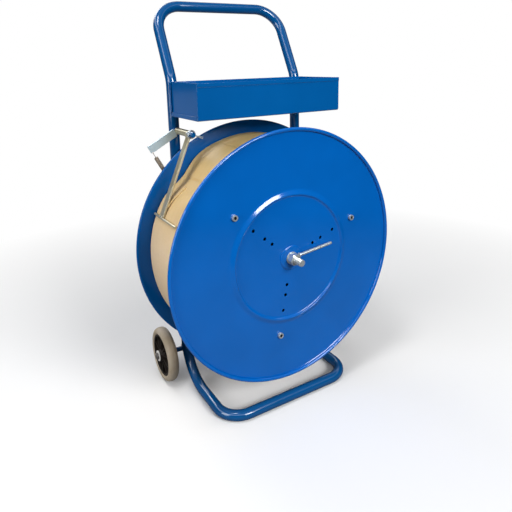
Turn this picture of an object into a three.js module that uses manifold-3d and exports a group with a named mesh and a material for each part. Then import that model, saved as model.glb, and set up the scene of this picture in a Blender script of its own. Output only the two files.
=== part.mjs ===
// Mobile dispenser for a reel of strapping: a bent tube trolley with a tray, two wheels,
// a reel that turns on a fixed spindle, and a sprung arm that presses on the coil.
// Millimetres. +X is to the right of someone facing the reel, +Y is to the back, +Z is up.
// The origin is on the floor, in the middle of the footprint.

import * as THREE from 'three';
import { mergeVertices } from 'three/addons/utils/BufferGeometryUtils.js';
import Module from 'manifold-3d';

const wasm = await Module();
wasm.setup();

// ---- driving dimensions ----

const GAP = 0.3;                 // between two pieces that touch
const FLANGE_Y = -141.4;         // front face of the reel, with the footprint centred on the origin

const TUBE_R = 12.5;             // frame tube, outside
const TUBE_WALL = 1.5;
const UPRIGHT_X = 172.7;         // the uprights stand at plus and minus this
const UPRIGHT_Y = FLANGE_Y + 227.1;
const TUBE_JOINT_Z = 300;        // where the handle tube plugs onto the base tube
const KNEE_Z = 759;              // the uprights lean back above this height
const HANDLE_Y = FLANGE_Y + 314.5;
const HANDLE_Z = 932.9;
const BASE_FRONT_Y = FLANGE_Y - 0.4;
const KNEE_BEND = 60;            // bend radii on the tube's centre line
const HANDLE_BEND = 65;
const HEEL_BEND = 95;
const BASE_BEND = 55;

const REEL_Z = 363.5;            // height of the spindle
const FLANGE_R = 295;
const FLANGE_GAUGE = 2;
const REEL_DEPTH = 190.3;        // from the front flange's face to the rear flange's back
const BEAD_R = 3.5;              // rolled bead round the rim of a flange
const RIB_INNER_R = 140;         // pressed ring in each flange
const RIB_OUTER_R = 156;
const RIB_RISE = 4.5;
const BOSS_R = 29;
const BOSS_RISE = 3;
const SUPPORT_PITCH_R = 185.3;   // circle of the core supports and of their screws
const SUPPORT_R = 17;
const HOLE_CIRCLES = [126.2, 89.1, 64.7];
const HOLE_R = 3.8;
const HOLE_TURN = -10.1;         // degrees that the rows of holes are turned from the vertical
const CORE_INNER_R = 203.3;
const CORE_OUTER_R = 208;
const COIL_R = 265;
const COIL_CLEARANCE = 4;        // between a flange and the side of the coil

const SPINDLE_R = 8;
const SPINDLE_FRONT_Y = FLANGE_Y - 44.2;
const HUB_R = 17;
const HUB_BORE_R = 13.3;
const NUT_ACROSS_FLATS = 24;
const NUT_HEIGHT = 15;
const CROSSBAR_HEIGHT = 40;
const CROSSBAR_DEPTH = 20;

const TRAY_HALF_WIDTH = 185;
const TRAY_FRONT_Y = FLANGE_Y + 60.3;
const TRAY_BOTTOM_Z = 679.4;
const TRAY_TOP_Z = 757.1;
const SHEET = 2;
const TRAY_LIP = 9;              // flanges folded in round each end of the tray

const WHEEL_R = 68;
const WHEEL_X = 224;
const WHEEL_Y = FLANGE_Y + 247;
const WHEEL_WIDTH = 27;
const RIM_R = 52;
const AXLE_R = 6;

const PIVOT_X = -173;            // pivot of the pressure arm, in front of the left upright
const PIVOT_Z = 645;
const PIVOT_ROD_R = 6;
const SLEEVE_R = 7.5;
const PRESSER_X = -248.5;         // rod that lies across the coil
const PRESSER_Z = 465.5;
const PRESSER_R = 2.8;
const HOOK_X = -236;             // hole of the spring in its lever
const HOOK_Z = 601;
const ANCHOR_X = -181;           // stud that holds the spring's lower end
const ANCHOR_Z = 502;
const SPRING_Y = FLANGE_Y + 205.5;

const RING_SIDES = 12;           // sides of a frame tube
const BEND_STEP = 15;            // degrees between stations round a bend
const FLANGE_SIDES = 48;
const WHEEL_SIDES = 36;
const SMALL_SIDES = 16;          // sides of bushes, washers and spacers

// ---- materials ----

function finish(color, roughness, metalness) {
  return new THREE.MeshStandardMaterial({ color, roughness, metalness });
}

const finishes = {
  bluePaint: finish(0x0a5db0, 0.3, 0.1),
  zinc: finish(0xbcc4c6, 0.35, 0.9),
  strap: finish(0xd2b57c, 0.55, 0),
  cardboard: finish(0x9a7a52, 0.9, 0),
  tyre: finish(0x9e948a, 0.75, 0),
  blackPlastic: finish(0x17120f, 0.5, 0),
  nylon: finish(0xe4e1dc, 0.5, 0),
  greyPlastic: finish(0x77746e, 0.5, 0),
};

// ---- solids ----

function toSolid(geometry) {
  const plain = geometry.index ? geometry.toNonIndexed() : geometry.clone();
  plain.deleteAttribute('normal');
  plain.deleteAttribute('uv');
  const merged = mergeVertices(plain, 1e-4);
  const triangles = [];
  const index = merged.index.array;
  for (let i = 0; i < index.length; i += 3) {
    const [a, b, c] = [index[i], index[i + 1], index[i + 2]];
    if (a !== b && b !== c && c !== a) triangles.push(a, b, c);
  }
  return new wasm.Manifold(new wasm.Mesh({
    numProp: 3,
    vertProperties: merged.attributes.position.array,
    triVerts: Uint32Array.from(triangles),
  }));
}

function toGeometry(solid) {
  const mesh = solid.getMesh();
  const geometry = new THREE.BufferGeometry();
  geometry.setAttribute('position', new THREE.BufferAttribute(mesh.vertProperties, 3));
  geometry.setIndex(new THREE.BufferAttribute(mesh.triVerts, 1));
  geometry.computeVertexNormals();
  return geometry;
}

function join(...geometries) {
  return toGeometry(geometries.map(toSolid).reduce((whole, piece) => whole.add(piece)));
}

function cut(geometry, ...tools) {
  return toGeometry(tools.map(toSolid).reduce((left, tool) => left.subtract(tool), toSolid(geometry)));
}

function box(x0, x1, y0, y1, z0, z1) {
  const geometry = new THREE.BoxGeometry(x1 - x0, y1 - y0, z1 - z0);
  return geometry.translate((x0 + x1) / 2, (y0 + y1) / 2, (z0 + z1) / 2);
}

function rodAlongY(radius, y0, y1, x = 0, z = 0, sides = 16) {
  return new THREE.CylinderGeometry(radius, radius, y1 - y0, sides).translate(x, (y0 + y1) / 2, z);
}

function rodAlongX(radius, x0, x1, y, z, sides = 16) {
  const geometry = new THREE.CylinderGeometry(radius, radius, x1 - x0, sides).rotateZ(Math.PI / 2);
  return geometry.translate((x0 + x1) / 2, y, z);
}

function hexAlongY(acrossFlats, y0, y1, x = 0, z = 0) {
  const corner = acrossFlats / 2 / Math.cos(Math.PI / 6);
  return rodAlongY(corner, y0, y1, 0, 0, 6).rotateY(Math.PI / 2).translate(x, 0, z);
}

// A closed profile of [radius, y] points turned round the Y axis.
function turned(profile, sides) {
  let area = 0;
  profile.forEach(([r, y], i) => {
    const [nextR, nextY] = profile[(i + 1) % profile.length];
    area += r * nextY - nextR * y;
  });
  const ordered = area > 0 ? profile : [...profile].reverse();
  const points = [...ordered, ordered[0]].map(([r, y]) => new THREE.Vector2(r, y));
  return new THREE.LatheGeometry(points, sides);
}

function ring(innerR, outerR, y0, y1, sides) {
  return turned([[innerR, y0], [outerR, y0], [outerR, y1], [innerR, y1]], sides);
}

// An outline of [x, z] points standing in the XZ plane, from y0 to y1.
function plate(outline, y0, y1, holes = []) {
  const shape = new THREE.Shape(outline.map(([x, z]) => new THREE.Vector2(x, z)));
  shape.holes = holes.map((hole) => new THREE.Path(hole.map(([x, z]) => new THREE.Vector2(x, z))));
  const geometry = new THREE.ExtrudeGeometry(shape, { depth: y1 - y0, bevelEnabled: false });
  return geometry.rotateX(Math.PI / 2).translate(0, y1, 0);
}

// ---- bent tubes ----

// A route that is sampled only at its stations: the ends of straight runs and steps round bends.
class StationRoute extends THREE.Curve {
  constructor(stations) {
    super();
    this.stations = stations;
  }

  get steps() {
    return this.stations.length - 1;
  }

  getPoint(t) {
    return this.stations[Math.round(t * this.steps)].point.clone();
  }

  getPointAt(t) {
    return this.getPoint(t);
  }

  getTangentAt(t) {
    return this.stations[Math.round(t * this.steps)].tangent.clone();
  }
}

// Corners are { at: [x, y, z], bend: radius }. The first and the last are the tube's ends.
function bentRoute(corners, degreesPerStep) {
  const points = corners.map(({ at }) => new THREE.Vector3(...at));
  const stations = [];
  corners.forEach(({ bend }, i) => {
    const before = i > 0 ? points[i].clone().sub(points[i - 1]).normalize() : null;
    const after = i < points.length - 1 ? points[i + 1].clone().sub(points[i]).normalize() : null;
    if (!before || !after) {
      stations.push({ point: points[i], tangent: before ?? after });
      return;
    }
    const turn = before.angleTo(after);
    const reach = bend * Math.tan(turn / 2);
    const inward = after.clone().sub(before).normalize();
    const centre = points[i].clone().addScaledVector(inward, bend / Math.cos(turn / 2));
    const start = points[i].clone().addScaledVector(before, -reach);
    const axis = before.clone().cross(after).normalize();
    const steps = Math.max(2, Math.round(THREE.MathUtils.radToDeg(turn) / degreesPerStep));
    for (let step = 0; step <= steps; step += 1) {
      const angle = (turn * step) / steps;
      stations.push({
        point: start.clone().sub(centre).applyAxisAngle(axis, angle).add(centre),
        tangent: before.clone().applyAxisAngle(axis, angle),
      });
    }
  });
  return new StationRoute(stations);
}

// A regular outline with its flats, not its corners, at the given distance.
function roundOutline(flatR, sides) {
  const cornerR = flatR / Math.cos(Math.PI / sides);
  return Array.from({ length: sides }, (_, i) => {
    const angle = ((i + 0.5) * 2 * Math.PI) / sides;
    return new THREE.Vector2(cornerR * Math.cos(angle), cornerR * Math.sin(angle));
  });
}

function alongRoute(route, outerR, innerR, sides) {
  const section = new THREE.Shape(roundOutline(outerR, sides));
  if (innerR) section.holes.push(new THREE.Path(roundOutline(innerR, sides)));
  return new THREE.ExtrudeGeometry(section, { steps: route.steps, extrudePath: route });
}

// ---- assembly ----

const dispenser = new THREE.Group();

function add(name, geometry, material, place = {}) {
  const mesh = new THREE.Mesh(geometry, material);
  mesh.name = name;
  mesh.position.set(...(place.at ?? [0, 0, 0]));
  (place.parent ?? dispenser).add(mesh);
  return mesh;
}

const SIDES = [{ side: 'left', sign: -1 }, { side: 'right', sign: 1 }];

// Frame: the handle tube and the base tube plug together on two short spigots.

const tubeBore = TUBE_R - TUBE_WALL;

const handleRoute = bentRoute([
  { at: [-UPRIGHT_X, UPRIGHT_Y, TUBE_JOINT_Z + GAP / 2] },
  { at: [-UPRIGHT_X, UPRIGHT_Y, KNEE_Z], bend: KNEE_BEND },
  { at: [-UPRIGHT_X, HANDLE_Y, HANDLE_Z], bend: HANDLE_BEND },
  { at: [UPRIGHT_X, HANDLE_Y, HANDLE_Z], bend: HANDLE_BEND },
  { at: [UPRIGHT_X, UPRIGHT_Y, KNEE_Z], bend: KNEE_BEND },
  { at: [UPRIGHT_X, UPRIGHT_Y, TUBE_JOINT_Z + GAP / 2] },
], BEND_STEP);

const baseRoute = bentRoute([
  { at: [-UPRIGHT_X, UPRIGHT_Y, TUBE_JOINT_Z - GAP / 2] },
  { at: [-UPRIGHT_X, UPRIGHT_Y, TUBE_R], bend: HEEL_BEND },
  { at: [-UPRIGHT_X, BASE_FRONT_Y, TUBE_R], bend: BASE_BEND },
  { at: [UPRIGHT_X, BASE_FRONT_Y, TUBE_R], bend: BASE_BEND },
  { at: [UPRIGHT_X, UPRIGHT_Y, TUBE_R], bend: HEEL_BEND },
  { at: [UPRIGHT_X, UPRIGHT_Y, TUBE_JOINT_Z - GAP / 2] },
], BEND_STEP);

const TRAY_SCREW_R = 3;
const TRAY_SCREW_Z = (TRAY_BOTTOM_Z + TRAY_TOP_Z) / 2;
const trayDrills = SIDES.map(({ sign }) => (
  rodAlongY(TRAY_SCREW_R + GAP, TRAY_FRONT_Y + 100, UPRIGHT_Y + 30, sign * UPRIGHT_X, TRAY_SCREW_Z, 8)
));

add('handle_tube', cut(alongRoute(handleRoute, TUBE_R, tubeBore, RING_SIDES), ...trayDrills),
  finishes.bluePaint);
add('base_tube', alongRoute(baseRoute, TUBE_R, tubeBore, RING_SIDES), finishes.bluePaint);

SIDES.forEach(({ side, sign }) => {
  const spigot = ring(tubeBore - GAP - 2.5, tubeBore - GAP, -40, 40, 12).rotateX(Math.PI / 2);
  add(`tube_spigot_${side}`, spigot, finishes.zinc,
    { at: [sign * UPRIGHT_X, UPRIGHT_Y, TUBE_JOINT_Z] });
});

// Crossbar: a box tube whose ends are hollowed to fit against the uprights.

const uprightClear = TUBE_R / Math.cos(Math.PI / RING_SIDES) + GAP;
function uprightCutter(sign, z) {
  return new THREE.CylinderGeometry(uprightClear, uprightClear, 100, 24).rotateX(Math.PI / 2)
    .translate(sign * UPRIGHT_X, UPRIGHT_Y, z);
}
const crossbarFrontY = UPRIGHT_Y - CROSSBAR_DEPTH / 2;
const crossbarRearY = UPRIGHT_Y + CROSSBAR_DEPTH / 2;
const halfHeight = CROSSBAR_HEIGHT / 2;
add('crossbar', cut(
  box(-UPRIGHT_X, UPRIGHT_X, crossbarFrontY, crossbarRearY, REEL_Z - halfHeight, REEL_Z + halfHeight),
  box(-UPRIGHT_X, UPRIGHT_X, crossbarFrontY + SHEET, crossbarRearY - SHEET,
    REEL_Z - halfHeight + SHEET, REEL_Z + halfHeight - SHEET),
  rodAlongY(SPINDLE_R + GAP, crossbarFrontY - 5, crossbarRearY + 5, 0, REEL_Z, 24),
  uprightCutter(-1, REEL_Z),
  uprightCutter(1, REEL_Z),
), finishes.bluePaint);

// Spindle: a fixed bar clamped to the crossbar between a spacer and a nut.

const reelCentre = new THREE.Group();
reelCentre.position.set(0, FLANGE_Y, REEL_Z);
dispenser.add(reelCentre);
const onReel = { parent: reelCentre };

const spindleFront = SPINDLE_FRONT_Y - FLANGE_Y;
const crossbarFront = crossbarFrontY - FLANGE_Y;
const crossbarRear = crossbarRearY - FLANGE_Y;
const spindleRear = crossbarRear + 20;
add('spindle', turned([
  [0, spindleFront], [SPINDLE_R - 1.5, spindleFront], [SPINDLE_R, spindleFront + 1.5],
  [SPINDLE_R, spindleRear - 1.5], [SPINDLE_R - 1.5, spindleRear], [0, spindleRear],
], 20), finishes.zinc, onReel);
add('spindle_spacer', ring(SPINDLE_R + GAP, HUB_R - 2, REEL_DEPTH + BOSS_RISE + GAP,
  crossbarFront - GAP, SMALL_SIDES), finishes.zinc, onReel);
add('spindle_rear_nut', cut(
  hexAlongY(NUT_ACROSS_FLATS, crossbarRear + GAP, crossbarRear + GAP + 13),
  rodAlongY(SPINDLE_R + GAP, crossbarRear - 5, crossbarRear + 20, 0, 0, 20),
), finishes.zinc, onReel);

// ---- reel ----

// One flange: a flat disc with a rolled bead at the rim and a pressed ring, both proud of the outer face.
// Its outer face is at y = 0 and the reel lies towards +Y.
function flangeBlank() {
  const beadY = FLANGE_GAUGE - BEAD_R;
  const beadX = FLANGE_R - BEAD_R;
  const bead = [];
  for (let angle = 90; angle >= -180; angle -= 90) {
    const turn = THREE.MathUtils.degToRad(angle);
    bead.push([beadX + BEAD_R * Math.cos(turn), beadY + BEAD_R * Math.sin(turn)]);
  }
  const slope = RIB_RISE;
  return turned([
    [SPINDLE_R + 2 * GAP, FLANGE_GAUGE],
    [RIB_INNER_R + 1, FLANGE_GAUGE],
    [RIB_INNER_R + slope + 1, FLANGE_GAUGE - RIB_RISE],
    [RIB_OUTER_R - slope - 1, FLANGE_GAUGE - RIB_RISE],
    [RIB_OUTER_R - 1, FLANGE_GAUGE],
    ...bead,
    [beadX - BEAD_R, 0],
    [RIB_OUTER_R, 0],
    [RIB_OUTER_R - slope, -RIB_RISE],
    [RIB_INNER_R + slope, -RIB_RISE],
    [RIB_INNER_R, 0],
    [SPINDLE_R + 2 * GAP, 0],
  ], FLANGE_SIDES);
}

const supportAngles = [0, 1, 2].map((i) => (
  THREE.MathUtils.degToRad(270 + HOLE_TURN + i * 120)
));

function onCircle(radius, angle) {
  return [radius * Math.cos(angle), radius * Math.sin(angle)];
}

const SCREW_R = 4;
const screwDrills = supportAngles.map((angle) => (
  rodAlongY(SCREW_R + 2 * GAP, -10, 10, ...onCircle(SUPPORT_PITCH_R, angle), 8)
));
const patternDrills = HOLE_CIRCLES.flatMap((radius) => supportAngles.map((angle) => (
  rodAlongY(HOLE_R, -10, 10, ...onCircle(radius, angle), 8)
)));

const flange = cut(flangeBlank(), ...screwDrills, ...patternDrills);
add('front_flange', flange, finishes.bluePaint, onReel);

// The rear flange is the same pressing turned to face the other way.
const rearReel = new THREE.Group();
rearReel.position.y = REEL_DEPTH;
rearReel.rotation.z = Math.PI;
reelCentre.add(rearReel);
const mirroredDrills = [...supportAngles.map((angle) => [SUPPORT_PITCH_R, angle, SCREW_R + 2 * GAP]),
  ...HOLE_CIRCLES.flatMap((radius) => supportAngles.map((angle) => [radius, angle, HOLE_R]))]
  .map(([radius, angle, drillR]) => {
    const [x, z] = onCircle(radius, angle);
    return rodAlongY(drillR, -10, 10, -x, z, 8);
  });
add('rear_flange', cut(flangeBlank(), ...mirroredDrills), finishes.bluePaint, { parent: rearReel });

function boss() {
  return turned([
    [SPINDLE_R + 2 * GAP, -GAP], [BOSS_R, -GAP], [BOSS_R - 1.5, -BOSS_RISE],
    [SPINDLE_R + 2 * GAP, -BOSS_RISE],
  ], 24);
}

add('front_boss', boss(), finishes.bluePaint, onReel);
add('rear_boss', boss(), finishes.bluePaint, { parent: rearReel });

const reelInnerFront = FLANGE_GAUGE + GAP;
const reelInnerRear = REEL_DEPTH - FLANGE_GAUGE - GAP;
const BUSH_LENGTH = 25;
add('hub_tube', ring(HUB_BORE_R, HUB_R, reelInnerFront, reelInnerRear, SMALL_SIDES), finishes.zinc, onReel);
add('hub_bush_front', ring(SPINDLE_R + GAP, HUB_BORE_R - GAP, reelInnerFront,
  reelInnerFront + BUSH_LENGTH, SMALL_SIDES), finishes.nylon, onReel);
add('hub_bush_rear', ring(SPINDLE_R + GAP, HUB_BORE_R - GAP, reelInnerRear - BUSH_LENGTH,
  reelInnerRear, SMALL_SIDES), finishes.nylon, onReel);

// Core supports: closed tubes with a screw hole through both ends.
supportAngles.forEach((angle, i) => {
  const END_WEB = 12;
  const WALL = 2.5;
  const support = turned([
    [SCREW_R + GAP, reelInnerFront], [SUPPORT_R, reelInnerFront], [SUPPORT_R, reelInnerRear],
    [SCREW_R + GAP, reelInnerRear], [SCREW_R + GAP, reelInnerRear - END_WEB],
    [SUPPORT_R - WALL, reelInnerRear - END_WEB], [SUPPORT_R - WALL, reelInnerFront + END_WEB],
    [SCREW_R + GAP, reelInnerFront + END_WEB],
  ], 12);
  const [x, z] = onCircle(SUPPORT_PITCH_R, angle);
  add(`core_support_${i + 1}`, support, finishes.zinc, { parent: reelCentre, at: [x, 0, z] });
});

// Socket-head cap screws. The head stands on the flange's outer face, at y = 0.
function capScrew() {
  const HEAD_R = 6.5;
  const HEAD_HEIGHT = 8;
  const SHANK_END = 13;
  const screw = turned([
    [0, -GAP - HEAD_HEIGHT], [HEAD_R - 1, -GAP - HEAD_HEIGHT], [HEAD_R, -GAP - HEAD_HEIGHT + 1],
    [HEAD_R, -GAP], [SCREW_R, -GAP], [SCREW_R, SHANK_END], [0, SHANK_END],
  ], 12);
  return cut(screw, hexAlongY(6, -HEAD_HEIGHT - 2, -HEAD_HEIGHT + 4));
}

supportAngles.forEach((angle, i) => {
  const [x, z] = onCircle(SUPPORT_PITCH_R, angle);
  add(`front_screw_${i + 1}`, capScrew(), finishes.zinc, { parent: reelCentre, at: [x, 0, z] });
  add(`rear_screw_${i + 1}`, capScrew(), finishes.zinc, { parent: rearReel, at: [-x, 0, z] });
});

// Coil of strap on its cardboard core. The coil is a little slack, so one side has sunk.

const coilFront = FLANGE_GAUGE + COIL_CLEARANCE;
const coilRear = REEL_DEPTH - FLANGE_GAUGE - COIL_CLEARANCE;
const SAG_ANGLE = 137;           // middle of the sunken stretch, in degrees from +X
const SAG_SPREAD = 13;
const SAG_DEPTH = 9;

function coilRadius(degrees) {
  const away = (degrees - SAG_ANGLE) / SAG_SPREAD;
  return COIL_R - SAG_DEPTH * Math.exp(-away * away);
}

function circleOutline(radiusAt, steps) {
  return Array.from({ length: steps }, (_, i) => {
    const degrees = (i * 360) / steps;
    return onCircle(radiusAt(degrees), THREE.MathUtils.degToRad(degrees));
  });
}

add('coil_core', ring(CORE_INNER_R, CORE_OUTER_R, coilFront, coilRear, 36), finishes.cardboard, onReel);
add('strap_coil', plate(circleOutline(coilRadius, 72), coilFront, coilRear,
  [circleOutline(() => CORE_OUTER_R + 1, 36)]), finishes.strap, onReel);

// Loose end of the strap, springing a little off the coil.
const STRAP_WIDTH = 16;
const STRAP_THICKNESS = 0.9;
const strapEndFrom = 139;
const strapEndTo = 152;
const strapEndSteps = 6;
const strapEndMiddle = 141;

function strapEndOutline() {
  const under = [];
  const over = [];
  for (let i = 0; i <= strapEndSteps; i += 1) {
    const degrees = strapEndFrom + ((strapEndTo - strapEndFrom) * i) / strapEndSteps;
    const lift = 0.8 + 3 * (i / strapEndSteps) ** 2;
    const angle = THREE.MathUtils.degToRad(degrees);
    under.push(onCircle(coilRadius(degrees) + lift, angle));
    over.unshift(onCircle(coilRadius(degrees) + lift + STRAP_THICKNESS, angle));
  }
  return [...under, ...over];
}

add('strap_end', plate(strapEndOutline(), strapEndMiddle - STRAP_WIDTH / 2,
  strapEndMiddle + STRAP_WIDTH / 2), finishes.strap, onReel);

// ---- lever nut that sets the reel's drag ----

const WASHER_THICKNESS = 2;
const washerRear = -BOSS_RISE - GAP;
const washerFront = washerRear - WASHER_THICKNESS;
const nutRear = washerFront - GAP;
const nutFront = nutRear - NUT_HEIGHT;
add('thrust_washer', ring(SPINDLE_R + GAP, 14.5, washerFront, washerRear, SMALL_SIDES), finishes.zinc, onReel);

const leverNut = hexAlongY(NUT_ACROSS_FLATS, nutFront, nutRear);
add('lever_nut', cut(leverNut, rodAlongY(SPINDLE_R + GAP, nutFront - 5, nutRear + 5, 0, 0, 20)),
  finishes.zinc, onReel);

const NUT_ROD_R = 3.5;
const NUT_ROD_LENGTH = 98;
const NUT_ROD_SLOPE = THREE.MathUtils.degToRad(6.3);
const nutRod = new THREE.CylinderGeometry(NUT_ROD_R, NUT_ROD_R, NUT_ROD_LENGTH, 12)
  .rotateZ(Math.PI / 2).translate(NUT_ROD_LENGTH / 2, 0, 0).rotateY(-NUT_ROD_SLOPE)
  .translate(9, (nutFront + nutRear) / 2, 6.2);
add('lever_rod', cut(nutRod, hexAlongY(NUT_ACROSS_FLATS + 2 * GAP, nutFront - 5, nutRear + 5)),
  finishes.zinc, onReel);

// ---- tray ----

const trayRearY = UPRIGHT_Y - TUBE_R - GAP;
const trayBodyBlank = box(-TRAY_HALF_WIDTH, TRAY_HALF_WIDTH, TRAY_FRONT_Y, trayRearY,
  TRAY_BOTTOM_Z, TRAY_TOP_Z);
const trayInside = box(-TRAY_HALF_WIDTH + SHEET, TRAY_HALF_WIDTH - SHEET, TRAY_FRONT_Y + SHEET,
  trayRearY - SHEET, TRAY_BOTTOM_Z + SHEET, TRAY_TOP_Z + 10);
const trayWindow = box(-TRAY_HALF_WIDTH - 5, TRAY_HALF_WIDTH + 5, TRAY_FRONT_Y + TRAY_LIP,
  trayRearY - TRAY_LIP, TRAY_BOTTOM_Z + TRAY_LIP, TRAY_TOP_Z + 10);
add('tray_body', cut(trayBodyBlank, trayInside, trayWindow, ...trayDrills), finishes.bluePaint);

SIDES.forEach(({ side, sign }) => {
  const outerX = sign * (TRAY_HALF_WIDTH - SHEET - GAP);
  const innerX = outerX - sign * SHEET;
  add(`tray_end_${side}`, box(Math.min(outerX, innerX), Math.max(outerX, innerX),
    TRAY_FRONT_Y + SHEET + GAP, trayRearY - SHEET - GAP, TRAY_BOTTOM_Z + SHEET + GAP, TRAY_TOP_Z),
  finishes.bluePaint);
});

const trayScrewHeadY = trayRearY - SHEET - GAP;
const trayNutY = UPRIGHT_Y + TUBE_R + GAP;
SIDES.forEach(({ side, sign }) => {
  const at = [sign * UPRIGHT_X, 0, TRAY_SCREW_Z];
  add(`tray_screw_${side}`, turned([
    [0, trayScrewHeadY - 3.5], [3.5, trayScrewHeadY - 3.5], [5.5, trayScrewHeadY - 1.5],
    [5.5, trayScrewHeadY], [TRAY_SCREW_R, trayScrewHeadY], [TRAY_SCREW_R, trayNutY + 8],
    [0, trayNutY + 8],
  ], 12), finishes.zinc, { at });
  add(`tray_nut_${side}`, cut(
    hexAlongY(10, trayNutY, trayNutY + 5),
    rodAlongY(TRAY_SCREW_R + GAP, trayNutY - 5, trayNutY + 10, 0, 0, 12),
  ), finishes.zinc, { at });
});

// ---- pressure arm ----

const sleeveFrontY = FLANGE_Y + 128;
const sleeveRearY = FLANGE_Y + 207.5;
const pivotRodFrontY = FLANGE_Y + 115;
const pivotRodRearY = UPRIGHT_Y - TUBE_R - GAP;
const SPLIT_PIN_Y = FLANGE_Y + 120.5;
const SPLIT_PIN_R = 1.4;
const SPLIT_PIN_TILT = THREE.MathUtils.degToRad(20);

function acrossPivot(geometry) {
  return geometry.rotateY(SPLIT_PIN_TILT).translate(PIVOT_X, SPLIT_PIN_Y, PIVOT_Z);
}

add('arm_pivot_rod', cut(
  rodAlongY(PIVOT_ROD_R, pivotRodFrontY, pivotRodRearY, PIVOT_X, PIVOT_Z, SMALL_SIDES),
  acrossPivot(rodAlongX(SPLIT_PIN_R + GAP, -20, 20, 0, 0, 8)),
), finishes.bluePaint);
add('pivot_washer', ring(PIVOT_ROD_R + GAP, 10, SPLIT_PIN_Y + 2.2, sleeveFrontY - GAP, SMALL_SIDES),
  finishes.zinc, { at: [PIVOT_X, 0, PIVOT_Z] });
add('split_pin', join(
  acrossPivot(rodAlongX(SPLIT_PIN_R, -9, 26, 0, 0, 8)),
  acrossPivot(new THREE.TorusGeometry(3, SPLIT_PIN_R, 5, 8).rotateX(Math.PI / 2).translate(-11.5, 0, 0)),
), finishes.zinc);

add('arm_sleeve', ring(PIVOT_ROD_R + GAP, SLEEVE_R, sleeveFrontY, sleeveRearY, SMALL_SIDES), finishes.zinc,
  { at: [PIVOT_X, 0, PIVOT_Z] });

// A flat bar in the XZ plane of the pivot, from one distance to another along a direction.
function strut(toX, toZ, from, to, halfWidth, y0, y1) {
  const length = Math.hypot(toX - PIVOT_X, toZ - PIVOT_Z);
  const [dx, dz] = [(toX - PIVOT_X) / length, (toZ - PIVOT_Z) / length];
  const corner = (along, across) => [
    PIVOT_X + dx * along - dz * across,
    PIVOT_Z + dz * along + dx * across,
  ];
  return plate([corner(from, -halfWidth), corner(to, -halfWidth), corner(to, halfWidth),
    corner(from, halfWidth)], y0, y1);
}

const armLength = Math.hypot(PRESSER_X - PIVOT_X, PRESSER_Z - PIVOT_Z);
const ARM_THICKNESS = 4;
const ARM_Y0 = FLANGE_Y + 129;
const ARM_Y1 = FLANGE_Y + 148;
const armEnd = armLength - PRESSER_R - GAP;
add('arm_bar', strut(PRESSER_X, PRESSER_Z, SLEEVE_R + GAP, armEnd, ARM_THICKNESS / 2, ARM_Y0, ARM_Y1),
  finishes.zinc);
add('presser_rod', rodAlongY(PRESSER_R, FLANGE_Y + 60, FLANGE_Y + 180, PRESSER_X, PRESSER_Z, 12),
  finishes.zinc);

const LEVER_HALF_WIDTH = 9.5;
const LEVER_LENGTH = 80;
const LEVER_Y0 = FLANGE_Y + 203.5;
const LEVER_Y1 = FLANGE_Y + 207.5;
const LEVER_TO = [-243, 607];
const HOOK_WIRE_R = 0.9;
add('spring_lever', cut(
  strut(...LEVER_TO, SLEEVE_R + GAP, LEVER_LENGTH, LEVER_HALF_WIDTH, LEVER_Y0, LEVER_Y1),
  rodAlongY(2, LEVER_Y0 - 5, LEVER_Y1 + 5, HOOK_X, HOOK_Z, 10),
), finishes.zinc);

// Spring stud on the left upright: it ends in a small head that keeps the hook on.
add('spring_stud', cut(turned([
  [0, SPRING_Y - 4], [3.4, SPRING_Y - 4], [3.4, SPRING_Y - 2.4], [2, SPRING_Y - 2.4],
  [2, SPRING_Y + 2.4], [3.4, SPRING_Y + 2.4], [3.4, UPRIGHT_Y], [0, UPRIGHT_Y],
], 12).translate(ANCHOR_X, 0, ANCHOR_Z), uprightCutter(-1, ANCHOR_Z)), finishes.zinc);

// Tension spring: a close helix between two straight tails that reach the hook hole and the stud.
const SPRING_R = 4;
const SPRING_WIRE_R = 0.7;
const SPRING_TURNS = 16;
const STEPS_PER_TURN = 6;
const TAIL = 12;

function springRoute() {
  const top = new THREE.Vector3(HOOK_X, SPRING_Y, HOOK_Z);
  const bottom = new THREE.Vector3(ANCHOR_X, SPRING_Y, ANCHOR_Z);
  const along = bottom.clone().sub(top).normalize();
  const across = new THREE.Vector3(0, 1, 0);
  const side = along.clone().cross(across);
  const length = top.distanceTo(bottom);
  const coilLength = length - 2 * TAIL;
  const points = [];
  for (let i = 0; i <= SPRING_TURNS * STEPS_PER_TURN; i += 1) {
    const angle = (2 * Math.PI * i) / STEPS_PER_TURN;
    const distance = TAIL + (coilLength * i) / (SPRING_TURNS * STEPS_PER_TURN);
    points.push(top.clone().addScaledVector(along, distance)
      .addScaledVector(across, SPRING_R * Math.sin(angle))
      .addScaledVector(side, SPRING_R * Math.cos(angle)));
  }
  points.unshift(top.clone().addScaledVector(along, 3));
  points.push(top.clone().addScaledVector(along, length - 3.5));
  return new StationRoute(points.map((point, i) => ({
    point,
    tangent: points[Math.min(i + 1, points.length - 1)].clone()
      .sub(points[Math.max(i - 1, 0)]).normalize(),
  })));
}

add('arm_spring', alongRoute(springRoute(), SPRING_WIRE_R, 0, 4), finishes.zinc);

// ---- wheels and axle ----

const axle = new THREE.Group();
axle.position.set(0, WHEEL_Y, WHEEL_R);
dispenser.add(axle);
const hubOuterX = WHEEL_X + 17;
const washerX = hubOuterX + GAP;
const capX = washerX + 2 + GAP;
add('wheel_axle', rodAlongX(AXLE_R, -capX - 3, capX + 3, 0, 0), finishes.bluePaint, { parent: axle });

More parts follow.
